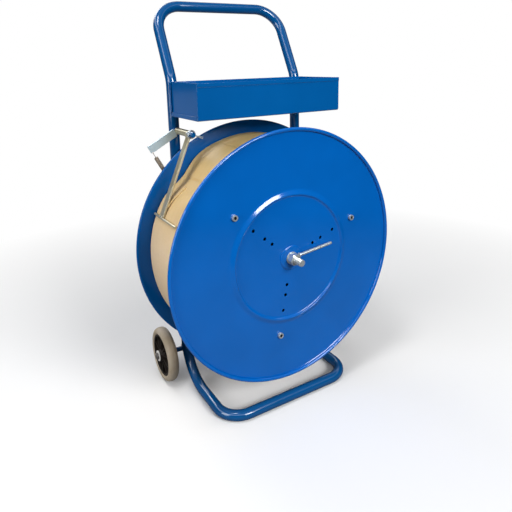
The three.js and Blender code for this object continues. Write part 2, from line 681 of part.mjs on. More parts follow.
const heelClear = alongRoute(baseRoute, TUBE_R + GAP, 0, RING_SIDES);
SIDES.forEach(({ side, sign }) => {
  const x = sign * UPRIGHT_X;
  const BRACKET_HALF = 2.5;
  const bracket = join(
    rodAlongX(12, x - BRACKET_HALF, x + BRACKET_HALF, WHEEL_Y, WHEEL_R, 20),
    box(x - BRACKET_HALF, x + BRACKET_HALF, UPRIGHT_Y - 15, WHEEL_Y, WHEEL_R - 12, WHEEL_R + 12),
  );
  const holed = cut(bracket, rodAlongX(AXLE_R + GAP, x - 10, x + 10, WHEEL_Y, WHEEL_R, 16), heelClear,
    box(x - 10, x + 10, UPRIGHT_Y - 40, UPRIGHT_Y - 4, 0, 200));
  add(`axle_bracket_${side}`, holed, finishes.bluePaint);
});

function tyreProfile() {
  const half = WHEEL_WIDTH / 2;
  return [[RIM_R + GAP, -half], [WHEEL_R - 7, -half], [WHEEL_R - 2, -half + 4], [WHEEL_R, -half + 9],
    [WHEEL_R, half - 9], [WHEEL_R - 2, half - 4], [WHEEL_R - 7, half], [RIM_R + GAP, half]];
}

// The rim: a band, a hub and eight ribs, with a thin web in the middle.
const HUB_SHELL_R = 15;
const BUSH_R = 8.5;
function rimSolid() {
  const half = WHEEL_WIDTH / 2 - 2;
  const band = ring(RIM_R - 4, RIM_R, -half, half, WHEEL_SIDES);
  const hub = ring(BUSH_R + GAP, HUB_SHELL_R, -17, 17, 18);
  const web = ring(HUB_SHELL_R - 1, RIM_R - 3, -1.5, 1.5, WHEEL_SIDES);
  const ribs = [0, 1, 2, 3].map((i) => (
    box(-RIM_R + 3, RIM_R - 3, -half + 2, half - 2, -1.5, 1.5).rotateY((i * Math.PI) / 4)
  ));
  const spokes = cut(join(...ribs), rodAlongY(HUB_SHELL_R - 1, -20, 20, 0, 0, 18));
  return join(band, hub, web, spokes);
}

SIDES.forEach(({ side, sign }) => {
  const wheel = new THREE.Group();
  wheel.position.x = sign * WHEEL_X;
  wheel.rotation.z = sign * Math.PI / 2;
  axle.add(wheel);
  add(`tyre_${side}`, turned(tyreProfile(), WHEEL_SIDES), finishes.tyre, { parent: wheel });
  add(`wheel_rim_${side}`, rimSolid(), finishes.blackPlastic, { parent: wheel });
  add(`wheel_bush_${side}`, ring(AXLE_R + GAP, BUSH_R, -17, 17, SMALL_SIDES), finishes.nylon, { parent: wheel });
  const washer = ring(AXLE_R + GAP, 13.5, 0, 2, SMALL_SIDES);
  washer.rotateZ(-sign * Math.PI / 2);
  add(`axle_washer_${side}`, washer, finishes.zinc, { parent: axle, at: [sign * washerX, 0, 0] });
  const cap = turned([[0, 6], [6, 6], [8.5, 4], [8.5, 0], [AXLE_R + GAP, 0], [AXLE_R + GAP, 3 + GAP],
    [0, 3 + GAP]], SMALL_SIDES);
  cap.rotateZ(-sign * Math.PI / 2);
  add(`axle_cap_${side}`, cap, finishes.greyPlastic, { parent: axle, at: [sign * capX, 0, 0] });
});

export default dispenser;
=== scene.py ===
"""Looks of the strapping reel dispenser, built round its fixed frame of CAD parts."""

import math

import bmesh
import bpy
from mathutils import Matrix, Vector, noise


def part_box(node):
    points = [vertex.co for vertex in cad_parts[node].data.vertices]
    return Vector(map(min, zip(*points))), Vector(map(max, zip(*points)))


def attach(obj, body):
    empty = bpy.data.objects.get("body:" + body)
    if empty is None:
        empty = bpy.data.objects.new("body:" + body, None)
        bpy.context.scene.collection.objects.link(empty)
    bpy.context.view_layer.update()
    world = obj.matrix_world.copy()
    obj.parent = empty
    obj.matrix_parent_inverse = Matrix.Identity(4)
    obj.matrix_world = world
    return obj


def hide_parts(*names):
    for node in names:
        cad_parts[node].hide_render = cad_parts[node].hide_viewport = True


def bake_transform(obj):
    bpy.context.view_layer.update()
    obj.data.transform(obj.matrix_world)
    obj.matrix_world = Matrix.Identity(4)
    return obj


bl_info = {
    "name": "Strapping Reel Dispenser",
    "version": (1, 0, 0),
    "blender": (4, 5, 0),
    "location": "3D View > Sidebar > Reel Dispenser",
    "description": "Builds the detailed pieces and finishes of a wheeled strapping reel dispenser",
    "category": "Object",
}

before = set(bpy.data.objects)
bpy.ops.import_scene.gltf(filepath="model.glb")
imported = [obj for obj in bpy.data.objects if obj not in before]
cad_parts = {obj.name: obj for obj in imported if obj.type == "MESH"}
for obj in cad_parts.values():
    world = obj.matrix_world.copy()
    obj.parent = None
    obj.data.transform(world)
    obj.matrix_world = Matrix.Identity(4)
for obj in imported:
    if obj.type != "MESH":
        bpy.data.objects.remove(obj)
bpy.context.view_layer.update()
MM = 0.001


# ---------------------------------------------------------------- places taken from the frame

BOXES = {node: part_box(node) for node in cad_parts}


def low(node):
    return BOXES[node][0]


def high(node):
    return BOXES[node][1]


def middle(node):
    return (low(node) + high(node)) / 2


GAUGE = 2 * MM
EDGE_ROUNDING = 0.7 * MM
REEL_AXIS = Vector((0, 0, middle("front_flange").z))
FRONT_FACE = high("front_flange").y - GAUGE
REAR_FACE = low("rear_flange").y + GAUGE
FLANGE_R = high("front_flange").x
COIL_R = high("strap_coil").x
PIVOT = Vector((middle("arm_sleeve").x, 0, middle("arm_sleeve").z))
PRESSER = middle("presser_rod")
WHEEL_R = high("tyre_left").z / 2
HOLE_TURN = math.radians(-10.1)
SUPPORT_ANGLES = [math.radians(270) + HOLE_TURN + i * math.radians(120) for i in range(3)]
SUPPORT_PITCH = math.hypot(middle("front_screw_1").x, middle("front_screw_1").z - REEL_AXIS.z)
HOLE_CIRCLES = (0.1262, 0.0891, 0.0647)
SPINDLE_R = 0.008
SPINDLE_BORE = 0.0083
ROD_BORE = 0.0063
BOLT_HOLE_R = 0.0033
NUT_ACROSS_FLATS = 0.024
SPRING_HOOK = (-0.236, 0.601)


# ---------------------------------------------------------------- settings

class ReelDispenserSizes(bpy.types.PropertyGroup):
    """Sizes of the visible detail, in metres."""

    tube_radius: bpy.props.FloatProperty(
        name="Tube radius", description="Outside radius of the frame tube",
        default=0.0125, unit="LENGTH")
    bead_radius: bpy.props.FloatProperty(
        name="Bead radius", description="Radius of the rolled bead round each flange",
        default=0.0042, unit="LENGTH")
    rib_rise: bpy.props.FloatProperty(
        name="Rib rise", description="How far the pressed ring stands out of a flange",
        default=0.0045, unit="LENGTH")
    strap_width: bpy.props.FloatProperty(
        name="Strap width", description="Width of one strap",
        default=0.016, unit="LENGTH")
    sheet_bend: bpy.props.FloatProperty(
        name="Sheet bend", description="Outside radius of a fold in the tray",
        default=0.0035, unit="LENGTH")


class ReelDispenserColours(bpy.types.PropertyGroup):
    """Base colours of the finishes, linear."""

    paint: bpy.props.FloatVectorProperty(
        name="Paint", description="Blue powder coat", subtype="COLOR", default=(0.0004, 0.122, 0.49))
    zinc: bpy.props.FloatVectorProperty(
        name="Zinc", description="Zinc plating", subtype="COLOR", default=(0.62, 0.67, 0.7))
    strap: bpy.props.FloatVectorProperty(
        name="Strap", description="Polypropylene strap", subtype="COLOR", default=(0.74, 0.51, 0.195))
    tyre: bpy.props.FloatVectorProperty(
        name="Tyre", description="Grey rubber", subtype="COLOR", default=(0.42, 0.36, 0.285))
    rim: bpy.props.FloatVectorProperty(
        name="Rim", description="Black moulded plastic", subtype="COLOR", default=(0.012, 0.009, 0.007))


def sizes():
    return bpy.context.scene.reel_dispenser_sizes


def colours():
    return bpy.context.scene.reel_dispenser_colours


# ---------------------------------------------------------------- finishes

class Finish:
    """A procedural material under construction."""

    def __init__(self, name, roughness, metallic=0.0):
        self.material = bpy.data.materials.new(name)
        self.material.use_nodes = True
        self.nodes = self.material.node_tree.nodes
        self.links = self.material.node_tree.links
        self.shader = self.nodes["Principled BSDF"]
        self.shader.inputs["Roughness"].default_value = roughness
        self.shader.inputs["Metallic"].default_value = metallic
        self.place = self.nodes.new("ShaderNodeTexCoord").outputs["Object"]

    def stretched(self, scale):
        mapping = self.nodes.new("ShaderNodeMapping")
        mapping.inputs["Scale"].default_value = scale
        self.links.new(self.place, mapping.inputs["Vector"])
        return mapping.outputs["Vector"]

    def noise(self, scale, detail=3.0, where=None, roughness=0.55):
        texture = self.nodes.new("ShaderNodeTexNoise")
        texture.inputs["Scale"].default_value = scale
        texture.inputs["Detail"].default_value = detail
        texture.inputs["Roughness"].default_value = roughness
        self.links.new(where or self.place, texture.inputs["Vector"])
        return texture.outputs["Fac"]

    def ramp(self, value, stops):
        ramp = self.nodes.new("ShaderNodeValToRGB")
        elements = ramp.color_ramp.elements
        while len(elements) < len(stops):
            elements.new(0.5)
        for element, (position, colour) in zip(elements, stops):
            element.position = position
            element.color = (*colour, 1.0)
        self.links.new(value, ramp.inputs["Fac"])
        return ramp.outputs["Color"]

    def blended(self, value, first, second):
        mix = self.nodes.new("ShaderNodeMix")
        mix.data_type = "RGBA"
        self.links.new(value, mix.inputs["Factor"])
        for socket, source in ((mix.inputs[6], first), (mix.inputs[7], second)):
            if isinstance(source, bpy.types.NodeSocket):
                self.links.new(source, socket)
            else:
                socket.default_value = (*source, 1.0)
        return mix.outputs[2]

    def level(self, value, lowest, highest):
        span = self.nodes.new("ShaderNodeMapRange")
        span.inputs["To Min"].default_value = lowest
        span.inputs["To Max"].default_value = highest
        self.links.new(value, span.inputs["Value"])
        return span.outputs["Result"]

    def span(self, axis, start, end):
        """Goes from 0 to 1 between two places along an axis of the object."""
        axes = self.nodes.new("ShaderNodeSeparateXYZ")
        self.links.new(self.place, axes.inputs["Vector"])
        reach = self.nodes.new("ShaderNodeMapRange")
        reach.inputs["From Min"].default_value = start
        reach.inputs["From Max"].default_value = end
        self.links.new(axes.outputs[axis], reach.inputs["Value"])
        return reach.outputs["Result"]

    def colour(self, socket):
        self.links.new(socket, self.shader.inputs["Base Color"])

    def rough(self, socket):
        self.links.new(socket, self.shader.inputs["Roughness"])

    def bump(self, value, height, strength=1.0):
        bump = self.nodes.new("ShaderNodeBump")
        bump.inputs["Strength"].default_value = strength
        bump.inputs["Distance"].default_value = height
        self.links.new(value, bump.inputs["Height"])
        last = self.shader.inputs["Normal"]
        if last.is_linked:
            self.links.new(last.links[0].from_socket, bump.inputs["Normal"])
        self.links.new(bump.outputs["Normal"], last)


def tint(colour, factor):
    return tuple(min(1.0, channel * factor) for channel in colour)


def patchy(name, roughness, metallic, patches, stops, sheen=None, grain=()):
    """A finish whose colour, roughness and fine relief vary over the surface.

    patches is (noise scale, detail), sheen is (scale, detail, lowest, highest roughness) and grain lists
    (scale, detail, height, strength) for each layer of relief.
    """
    finish = Finish(name, roughness, metallic)
    finish.colour(finish.ramp(finish.noise(*patches), stops))
    if sheen:
        finish.rough(finish.level(finish.noise(*sheen[:2]), *sheen[2:]))
    for scale, detail, height, strength in grain:
        finish.bump(finish.noise(scale, detail), height, strength)
    return finish


FINE_METAL_GRAIN = ((900.0, 3.0, 0.00002, 0.08),)


def make_powder_coat(name="blue_powder_coat", shade=(1.0, 1.0, 1.0), specular=0.5, coat=0.25):
    """Glossy blue powder coat with a fine orange peel and slightly uneven depth of colour."""
    # shade scales the colour: the darker copies made with it for the tubes, the tray and the rear flange are
    # painted shade
    paint = tuple(channel * factor for channel, factor in zip(colours().paint, shade))
    finish = patchy(name, 0.12, 0.0, (7.0, 2.0), [(0.3, tint(paint, 0.93)), (0.7, tint(paint, 1.07))],
                    sheen=(40.0, 4.0, 0.09, 0.15),
                    grain=((650.0, 2.0, 0.00003, 0.05), (60.0, 2.0, 0.0002, 0.03)))
    finish.shader.inputs["Specular IOR Level"].default_value = specular
    finish.shader.inputs["Coat Weight"].default_value = coat
    finish.shader.inputs["Coat Roughness"].default_value = 0.08
    return finish.material


def make_zinc():
    """Zinc plating: pale metal with bluish and straw-coloured patches and a fine grain."""
    zinc = tuple(colours().zinc)
    straw = (zinc[0] * 1.02, zinc[1] * 0.97, zinc[2] * 0.86)
    blue = (zinc[0] * 0.92, zinc[1] * 1.0, zinc[2] * 1.08)
    return patchy("zinc_plating", 0.25, 0.68, (28.0, 4.0), [(0.32, straw), (0.5, zinc), (0.68, blue)],
                  sheen=(120.0, 3.0, 0.25, 0.31), grain=FINE_METAL_GRAIN).material


def make_bright_zinc():
    """Fresh bluish zinc on flat strip, soft and pale, with a faint grain."""
    return patchy("bright_zinc", 0.34, 0.35, (16.0, 2.0),
                  [(0.3, (0.44, 0.56, 0.62)), (0.7, (0.56, 0.69, 0.76))], grain=FINE_METAL_GRAIN).material


def make_coil_reflection_zinc():
    """Zinc tinted warm straw by a painted reflection of the cream coil, with pale, worn patches."""
    return patchy("coil_reflection_zinc", 0.3, 0.6, (24.0, 4.0),
                  [(0.3, (0.5, 0.44, 0.28)), (0.55, (0.62, 0.58, 0.43)), (0.75, (0.68, 0.68, 0.6))],
                  sheen=(120.0, 3.0, 0.26, 0.34), grain=FINE_METAL_GRAIN).material


def make_socket_shade():
    """Near-black painted shade in the bottom and on the walls of a hexagon socket."""
    return patchy("socket_painted_shade", 0.6, 0.0, (400.0, 2.0),
                  [(0.3, (0.004, 0.004, 0.005)), (0.7, (0.012, 0.012, 0.014))]).material


def make_spring_wire():
    """Drawn wire, dull and slightly brown between the turns."""
    return patchy("spring_wire", 0.4, 0.55, (90.0, 3.0),
                  [(0.3, (0.24, 0.19, 0.14)), (0.7, (0.44, 0.38, 0.31))],
                  grain=((1200.0, 2.0, 0.00003, 0.4),)).material


def make_strap():
    """Cream polypropylene with a faint woven emboss, uneven batches of colour, and low turns paled by a painted
    reflection of the white surroundings.
    """
    strap = tuple(colours().strap)
    finish = Finish("cream_strap", 0.42)
    batches = finish.noise(9.0, 3.0)
    weave = finish.noise(420.0, 3.0, finish.stretched((1, 0.15, 1)))
    base = finish.ramp(batches, [(0.3, tint(strap, 0.9)), (0.7, tint(strap, 1.1))])
    # painted reflection: from 0.56 m down to 0.4 m the colour turns paler and less yellow, standing in for the
    # sheen of the white surroundings
    painted_white_sheen = (strap[0] * 1.15, strap[1] * 1.28, strap[2] * 2.2)
    base = finish.blended(finish.span("Z", 0.56, 0.4), base, painted_white_sheen)
    finish.colour(finish.blended(finish.level(weave, 0.0, 0.25), base, tint(strap, 0.7)))
    finish.rough(finish.level(finish.noise(90.0, 4.0), 0.36, 0.5))
    finish.bump(weave, 0.00012, 0.35)
    finish.bump(finish.noise(1500.0, 2.0), 0.00003, 0.3)
    finish.shader.inputs["Subsurface Weight"].default_value = 0.12
    finish.shader.inputs["Subsurface Radius"].default_value = (0.004, 0.003, 0.0015)
    finish.shader.inputs["Subsurface Scale"].default_value = 1.0
    return finish.material


def make_cardboard():
    """Spiral-wound brown board with long fibres."""
    finish = Finish("core_board", 0.85)
    fibres = finish.noise(350.0, 5.0, finish.stretched((1, 0.2, 1)))
    finish.colour(finish.ramp(fibres, [(0.3, (0.22, 0.14, 0.075)), (0.75, (0.4, 0.27, 0.15))]))
    finish.bump(fibres, 0.0002, 0.6)
    return finish.material


def make_tyre():
    """Grey rubber, a little scuffed and yellowed, with a fine moulded grain."""
    tyre = tuple(colours().tyre)
    yellowed = (tyre[0] * 0.88, tyre[1] * 0.84, tyre[2] * 0.74)
    return patchy("grey_rubber", 0.62, 0.0, (22.0, 4.0), [(0.3, yellowed), (0.7, tint(tyre, 1.12))],
                  sheen=(130.0, 4.0, 0.52, 0.75), grain=((700.0, 4.0, 0.00015, 0.5),)).material


def make_black_plastic():
    """Moulded black plastic with a fine spark-eroded grain."""
    rim = tuple(colours().rim)
    finish = patchy("black_moulding", 0.45, 0.0, (30.0, 3.0), [(0.3, rim), (0.75, tint(rim, 2.2))],
                    sheen=(200.0, 3.0, 0.36, 0.55), grain=((1300.0, 3.0, 0.00008, 0.5),))
    finish.shader.inputs["Specular IOR Level"].default_value = 0.3
    return finish.material


def make_plain_moulding(name, colour):
    """Moulded plastic with faint flow marks."""
    return patchy(name, 0.45, 0.0, (60.0, 4.0), [(0.3, tint(colour, 0.85)), (0.7, tint(colour, 1.1))],
                  sheen=(150.0, 3.0, 0.38, 0.55), grain=((800.0, 3.0, 0.00006, 0.4),)).material


def mixed(tree, factor, first, second):
    """Two shaders blended by a factor in a node tree."""
    made = tree.nodes.new("ShaderNodeMixShader")
    for source, socket in zip((factor, first, second), made.inputs):
        tree.links.new(source, socket)
    return made.outputs["Shader"]


FLOOR_R = 14.0
FLOOR_FADES = (0.5, 1.6)


def make_floor_finish():
    """Matt pale floor: white with soft shadows where it is looked at, fading to plain white far off."""
    finish = Finish("pale_floor", 0.9)
    nodes, links, tree = finish.nodes, finish.links, finish.material.node_tree
    finish.colour(finish.ramp(finish.noise(1.5, 2.0), [(0.3, (0.9,) * 3), (0.7, (0.93,) * 3)]))
    finish.shader.inputs["Specular IOR Level"].default_value = 0.0
    distance = nodes.new("ShaderNodeVectorMath")
    distance.operation = "LENGTH"
    links.new(finish.place, distance.inputs[0])
    fade = nodes.new("ShaderNodeMapRange")
    fade.inputs["From Min"].default_value, fade.inputs["From Max"].default_value = FLOOR_FADES
    links.new(distance.outputs["Value"], fade.inputs["Value"])
    faded = fade.outputs["Result"]
    nearby = finish.ramp(faded, [(0.0, (0.2,) * 3), (1.0, (0.01,) * 3)])
    grey = nodes.new("ShaderNodeBsdfDiffuse")
    links.new(finish.blended(finish.span("Y", 0.7, 1.5), nearby, (0.85,) * 3), grey.inputs["Color"])
    white = nodes.new("ShaderNodeEmission").outputs["Emission"]
    looked_at = mixed(tree, faded, finish.shader.outputs["BSDF"], white)
    directly = nodes.new("ShaderNodeLightPath").outputs["Is Camera Ray"]
    links.new(mixed(tree, directly, grey.outputs["BSDF"], looked_at), nodes["Material Output"].inputs["Surface"])
    return finish.material


MAKERS = {
    "blue_paint": make_powder_coat,
    # painted shade: darker copies of the blue coat on the frame tubes and the tray, standing in for the weaker
    # light that falls on them
    "tube_shade_painted": lambda: make_powder_coat("shaded_tube_powder", (2.0, 0.62, 0.5)),
    "tray_shade_painted": lambda: make_powder_coat("shaded_tray_powder", (1.5, 0.84, 0.72)),
    "zinc": make_zinc,
    "bright_zinc": make_bright_zinc,
    "coil_reflection_zinc": make_coil_reflection_zinc,
    "spring_wire": make_spring_wire,
    "socket_shade": make_socket_shade,
    # painted shade: a darker, less glossy copy of the blue coat for the rear flange, whose inner face lies in
    # the shadow of the front flange and the coil
    "rear_flange_shade_painted": lambda: make_powder_coat("shaded_rear_powder", (1.0, 0.66, 0.62), 0.18, 0.02),
    "strap": make_strap,
    "cardboard": make_cardboard,
    "tyre": make_tyre,
    "black_plastic": make_black_plastic,
    "nylon": lambda: make_plain_moulding("white_nylon", (0.82, 0.81, 0.78)),
    "grey_plastic": lambda: make_plain_moulding("grey_moulding", (0.1, 0.095, 0.09)),
    "floor": make_floor_finish,
}
made_finishes = {}


def finish_of(slot):
    if slot not in made_finishes:
        made_finishes[slot] = MAKERS[slot]()
    return made_finishes[slot]


# ---------------------------------------------------------------- mesh helpers

def to_object(name, built, smooth_angle=40):
    """Turns a bmesh into a linked object with outward normals and sharp edges above an angle."""
    bmesh.ops.recalc_face_normals(built, faces=built.faces)
    mesh = bpy.data.meshes.new(name)
    built.to_mesh(mesh)
    built.free()
    return shaded(name, mesh, smooth_angle)


def shaded(name, mesh, smooth_angle=40):
    mesh.shade_smooth()
    mesh.set_sharp_from_angle(angle=math.radians(smooth_angle))
    made = bpy.data.objects.new(name, mesh)
    bpy.context.scene.collection.objects.link(made)
    return made


def apply_modifiers(made):
    bpy.context.view_layer.update()
    evaluated = made.evaluated_get(bpy.context.evaluated_depsgraph_get())
    mesh = bpy.data.meshes.new_from_object(evaluated)
    made.modifiers.clear()
    made.data = mesh
    return made


def merged(name, pieces, smooth_angle=40):
    """One object out of several."""
    whole = bmesh.new()
    for piece in pieces:
        piece.data.transform(piece.matrix_world)
        whole.from_mesh(piece.data)
        bpy.data.objects.remove(piece)
    mesh = bpy.data.meshes.new(name)
    whole.to_mesh(mesh)
    whole.free()
    return shaded(name, mesh, smooth_angle)


def fillet(outline, radius, steps=3, closed=True):
    """Rounds the corners of a 2D outline. radius may be one number or a number for each corner."""
    count = len(outline)
    radii = [radius] * count if isinstance(radius, float) else radius
    rounded = []
    for i, corner in enumerate(outline):
        here = Vector(corner)
        if not closed and i in (0, count - 1):
            rounded.append(tuple(here))
            continue
        before = Vector(outline[i - 1]) - here
        after = Vector(outline[(i + 1) % count]) - here
        reach = min(radii[i], before.length * 0.45, after.length * 0.45)
        if reach < 1e-6 or abs(before.angle(after) - math.pi) < 0.05:
            rounded.append(tuple(here))
            continue
        start = here + before.normalized() * reach
        end = here + after.normalized() * reach
        for step in range(steps + 1):
            t = step / steps
            rounded.append(tuple(start * (1 - t) ** 2 + here * 2 * t * (1 - t) + end * t ** 2))
    return rounded


def revolve(name, profile, centre, axis="Y", segments=96, smooth_angle=40):
    """Turns (radius, height) points round an axis. A profile that starts on the axis makes a solid."""
    built = bmesh.new()
    closed = profile[0][0] > 1e-7
    rings = []
    for radius, height in profile:
        if radius < 1e-7:
            rings.append([built.verts.new((0, height, 0))] * segments)
            continue
        rings.append([built.verts.new((radius * math.cos(math.tau * k / segments), height,
                                       radius * math.sin(math.tau * k / segments)))
                      for k in range(segments)])
    pairs = list(zip(rings, rings[1:])) + ([(rings[-1], rings[0])] if closed else [])
    for first, second in pairs:
        for k in range(segments):
            corners = [first[k], first[(k + 1) % segments], second[(k + 1) % segments], second[k]]
            distinct = list(dict.fromkeys(corners))
            if len(distinct) > 2:
                built.faces.new(distinct)
    if axis == "X":
        built.transform(Matrix.Rotation(-math.pi / 2, 4, "Z"))
    built.transform(Matrix.Translation(centre))
    return to_object(name, built, smooth_angle)


def bent_points(corners, degrees=4):
    """Points along straight runs and round bends. Corners are (point, bend radius)."""
    points = [Vector(point) for point, _ in corners]
    route = [points[0]]
    for i in range(1, len(points) - 1):
        before = (points[i] - points[i - 1]).normalized()
        after = (points[i + 1] - points[i]).normalized()
        turn = before.angle(after)
        bend = corners[i][1]
        inward = (after - before).normalized()
        centre = points[i] + inward * (bend / math.cos(turn / 2))
        spoke = points[i] - before * (bend * math.tan(turn / 2)) - centre
        steps = max(3, round(math.degrees(turn) / degrees))
        axis = before.cross(after).normalized()
        for step in range(steps + 1):
            route.append(centre + Matrix.Rotation(turn * step / steps, 3, axis) @ spoke)
    route.append(points[-1])
    return route


def bridge(built, first, second):
    """Joins two closed rings of vertices with quads."""
    count = len(first)
    for k in range(count):
        built.faces.new([first[k], first[(k + 1) % count], second[(k + 1) % count], second[k]])


def stations(route):
    """Each point of a route with two directions across it that don't twist from point to point."""
    last = len(route) - 1
    side = (route[1] - route[0]).orthogonal().normalized()
    for i, point in enumerate(route):
        tangent = (route[min(i + 1, last)] - route[max(i - 1, 0)]).normalized()
        side = (side - tangent * side.dot(tangent)).normalized()
        yield point, side, tangent.cross(side)


def round_ring(built, point, side, across, size, sides):
    return [built.verts.new(point + (side * math.cos(math.tau * k / sides)
                                     + across * math.sin(math.tau * k / sides)) * size)
            for k in range(sides)]


def sweep(name, route, radius, sides=24, smooth_angle=50):
    """A round section carried along a route. radius may be a function of the station number."""
    built = bmesh.new()
    rings = [round_ring(built, *station, radius(i) if callable(radius) else radius, sides)
             for i, station in enumerate(stations(route))]
    for first, second in zip(rings, rings[1:]):
        bridge(built, first, second)
    built.faces.new(rings[0])
    built.faces.new(rings[-1])
    return to_object(name, built, smooth_angle)


def hollow_sweep(name, route, radius, wall, sides=32):
    """A tube with open ends: an outer and an inner skin joined at both ends."""
    built = bmesh.new()
    outer, inner = [], []
    for station in stations(route):
        outer.append(round_ring(built, *station, radius, sides))
        inner.append(round_ring(built, *station, radius - wall, sides))
    for rings in (outer, inner):
        for first, second in zip(rings, rings[1:]):
            bridge(built, first, second)
    for end in (0, -1):
        bridge(built, outer[end], inner[end])
    return to_object(name, built, 50)


def cut_plate(name, outline, y0, y1, bevel=0.0004, holes=()):
    """A plate with softened edges, its outline in the XZ plane and its thickness along Y."""
    curve = bpy.data.curves.new(name, "CURVE")
    curve.dimensions = "2D"
    curve.fill_mode = "BOTH"
    curve.extrude = (y1 - y0) / 2 - bevel
    curve.bevel_depth = bevel
    curve.bevel_resolution = 2
    curve.offset = -bevel
    for loop in (outline, *holes):
        spline = curve.splines.new("POLY")
        spline.points.add(len(loop) - 1)
        for point, (x, z) in zip(spline.points, loop):
            point.co = (x, z, 0, 1)
        spline.use_cyclic_u = True
    carrier = bpy.data.objects.new(name, curve)
    mesh = bpy.data.meshes.new_from_object(carrier)
    bpy.data.objects.remove(carrier)
    built = bmesh.new()
    built.from_mesh(mesh)
    bpy.data.meshes.remove(mesh)
    bmesh.ops.remove_doubles(built, verts=built.verts, dist=1e-6)
    built.transform(Matrix.Translation((0, (y0 + y1) / 2, 0)) @ Matrix.Rotation(math.pi / 2, 4, "X"))
    return to_object(name, built, 35)


def prism(name, outline, y0, y1, bevel):
    """A flat strip of any convex outline in the XZ plane with both faces' edges rounded."""
    built = bmesh.new()
    faces = [built.faces.new([built.verts.new((x, y, z)) for x, z in outline]) for y in (y0, y1)]
    rims = [edge for face in faces for edge in face.edges]
    near, far = ([loop.vert for loop in face.loops] for face in faces)
    bridge(built, near, far)
    bmesh.ops.recalc_face_normals(built, faces=built.faces)
    bmesh.ops.bevel(built, geom=rims, offset=bevel, segments=2, profile=0.5, affect="EDGES")
    return to_object(name, built, 50)


def block(name, lowest, highest, bevel):
    """A box between two corners with rounded edges."""
    built = bmesh.new()
    bmesh.ops.create_cube(built, size=1.0)
    centre = (Vector(lowest) + Vector(highest)) / 2
    span = Vector(highest) - Vector(lowest)
    built.transform(Matrix.Translation(centre) @ Matrix.Diagonal((*span, 1)))
    bmesh.ops.bevel(built, geom=built.edges[:], offset=bevel, segments=2, profile=0.5, affect="EDGES")
    return to_object(name, built, 50)


def circle(radius, steps=48):
    return [(radius * math.cos(math.tau * k / steps), radius * math.sin(math.tau * k / steps))
            for k in range(steps)]


def washer_profile(bore, outer, start, end, rounding):
    """The section of a washer, bush or sleeve, with rounded edges."""
    return fillet([(bore, start), (outer, start), (outer, end), (bore, end)], rounding, 3)


def thread_profile(y, end, radius, pitch, depth):
    """The flanks and crests of a thread from y up to end, and where the last pitch stops."""
    profile = []
    while y < end:
        profile += [(radius, y + pitch * 0.18), (radius, y + pitch * 0.34),
                    (radius - depth, y + pitch * 0.78), (radius - depth, y + pitch * 0.96)]
        y += pitch
    return profile, y


def on_reel(radius, angle):
    return radius * math.cos(angle), REEL_AXIS.z + radius * math.sin(angle)


def weld(name, route, radius=0.0016, seed=1.0):
    """A weld bead: a small rounded cord with the ripples of its pool."""
    def size(i):
        ripple = 0.82 + 0.18 * math.sin(i * 2.1) + 0.12 * noise.noise(Vector((i * 0.7, seed, 0)))
        return radius * ripple
    return sweep(name, route, size, sides=10, smooth_angle=80)


def line_route(start, end, steps):
    return [start.lerp(end, k / steps) for k in range(steps + 1)]


def ring_route(centre, radius, normal, steps):
    """Points round a circle about a centre, across a normal."""
    normal = Vector(normal).normalized()
    side = normal.orthogonal().normalized()
    return [Vector(centre) + Matrix.Rotation(math.tau * k / steps, 3, normal) @ side * radius
            for k in range(steps + 1)]


def subtract(made, cutters):
    """Cuts the cutters out of an object."""
    tool = merged("cutter", cutters)
    cut = made.modifiers.new("holes", "BOOLEAN")
    cut.operation = "DIFFERENCE"
    cut.solver = "EXACT"
    cut.object = tool
    apply_modifiers(made)
    bpy.data.objects.remove(tool)
    return made


def drill(radius, x, z, y0, y1):
    profile = [(0, y0), (radius, y0), (radius, y1), (0, y1)]
    return revolve("drill", profile, (x, 0, z), "Y", 24)


def hexagon(across_flats, turn=0.0):
    corner = across_flats / 2 / math.cos(math.pi / 6)
    return [(corner * math.cos(turn + k * math.pi / 3), corner * math.sin(turn + k * math.pi / 3))
            for k in range(6)]


def finish_piece(made, slot, body, *nodes, surface=None):
    """Gives a piece its material and its body, and hides the CAD nodes that it stands for."""
    made.data.materials.clear()
    made.data.materials.append(finish_of(surface or slot))
    normals = made.modifiers.new("normals", "WEIGHTED_NORMAL")
    normals.mode = "FACE_AREA"
    normals.weight = 60
    normals.keep_sharp = True
    if nodes:
        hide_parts(*nodes)
    if body:
        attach(made, body)
    return made


def refinish(node, slot, bevel=0.0003):
    """A CAD node that stays: softened edges and a detailed material."""
    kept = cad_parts[node]
    kept.data.materials.clear()
    kept.data.materials.append(finish_of(slot))
    for polygon in kept.data.polygons:
        polygon.use_smooth = True
    kept.data.set_sharp_from_angle(angle=math.radians(40))
    edges = kept.modifiers.new("edges", "BEVEL")
    edges.width = bevel
    edges.segments = 2
    edges.limit_method = "ANGLE"
    edges.angle_limit = math.radians(40)


# ---------------------------------------------------------------- frame

def upright_x():
    return high("handle_tube").x - sizes().tube_radius


def upright_y():
    return middle("tube_spigot_left").y


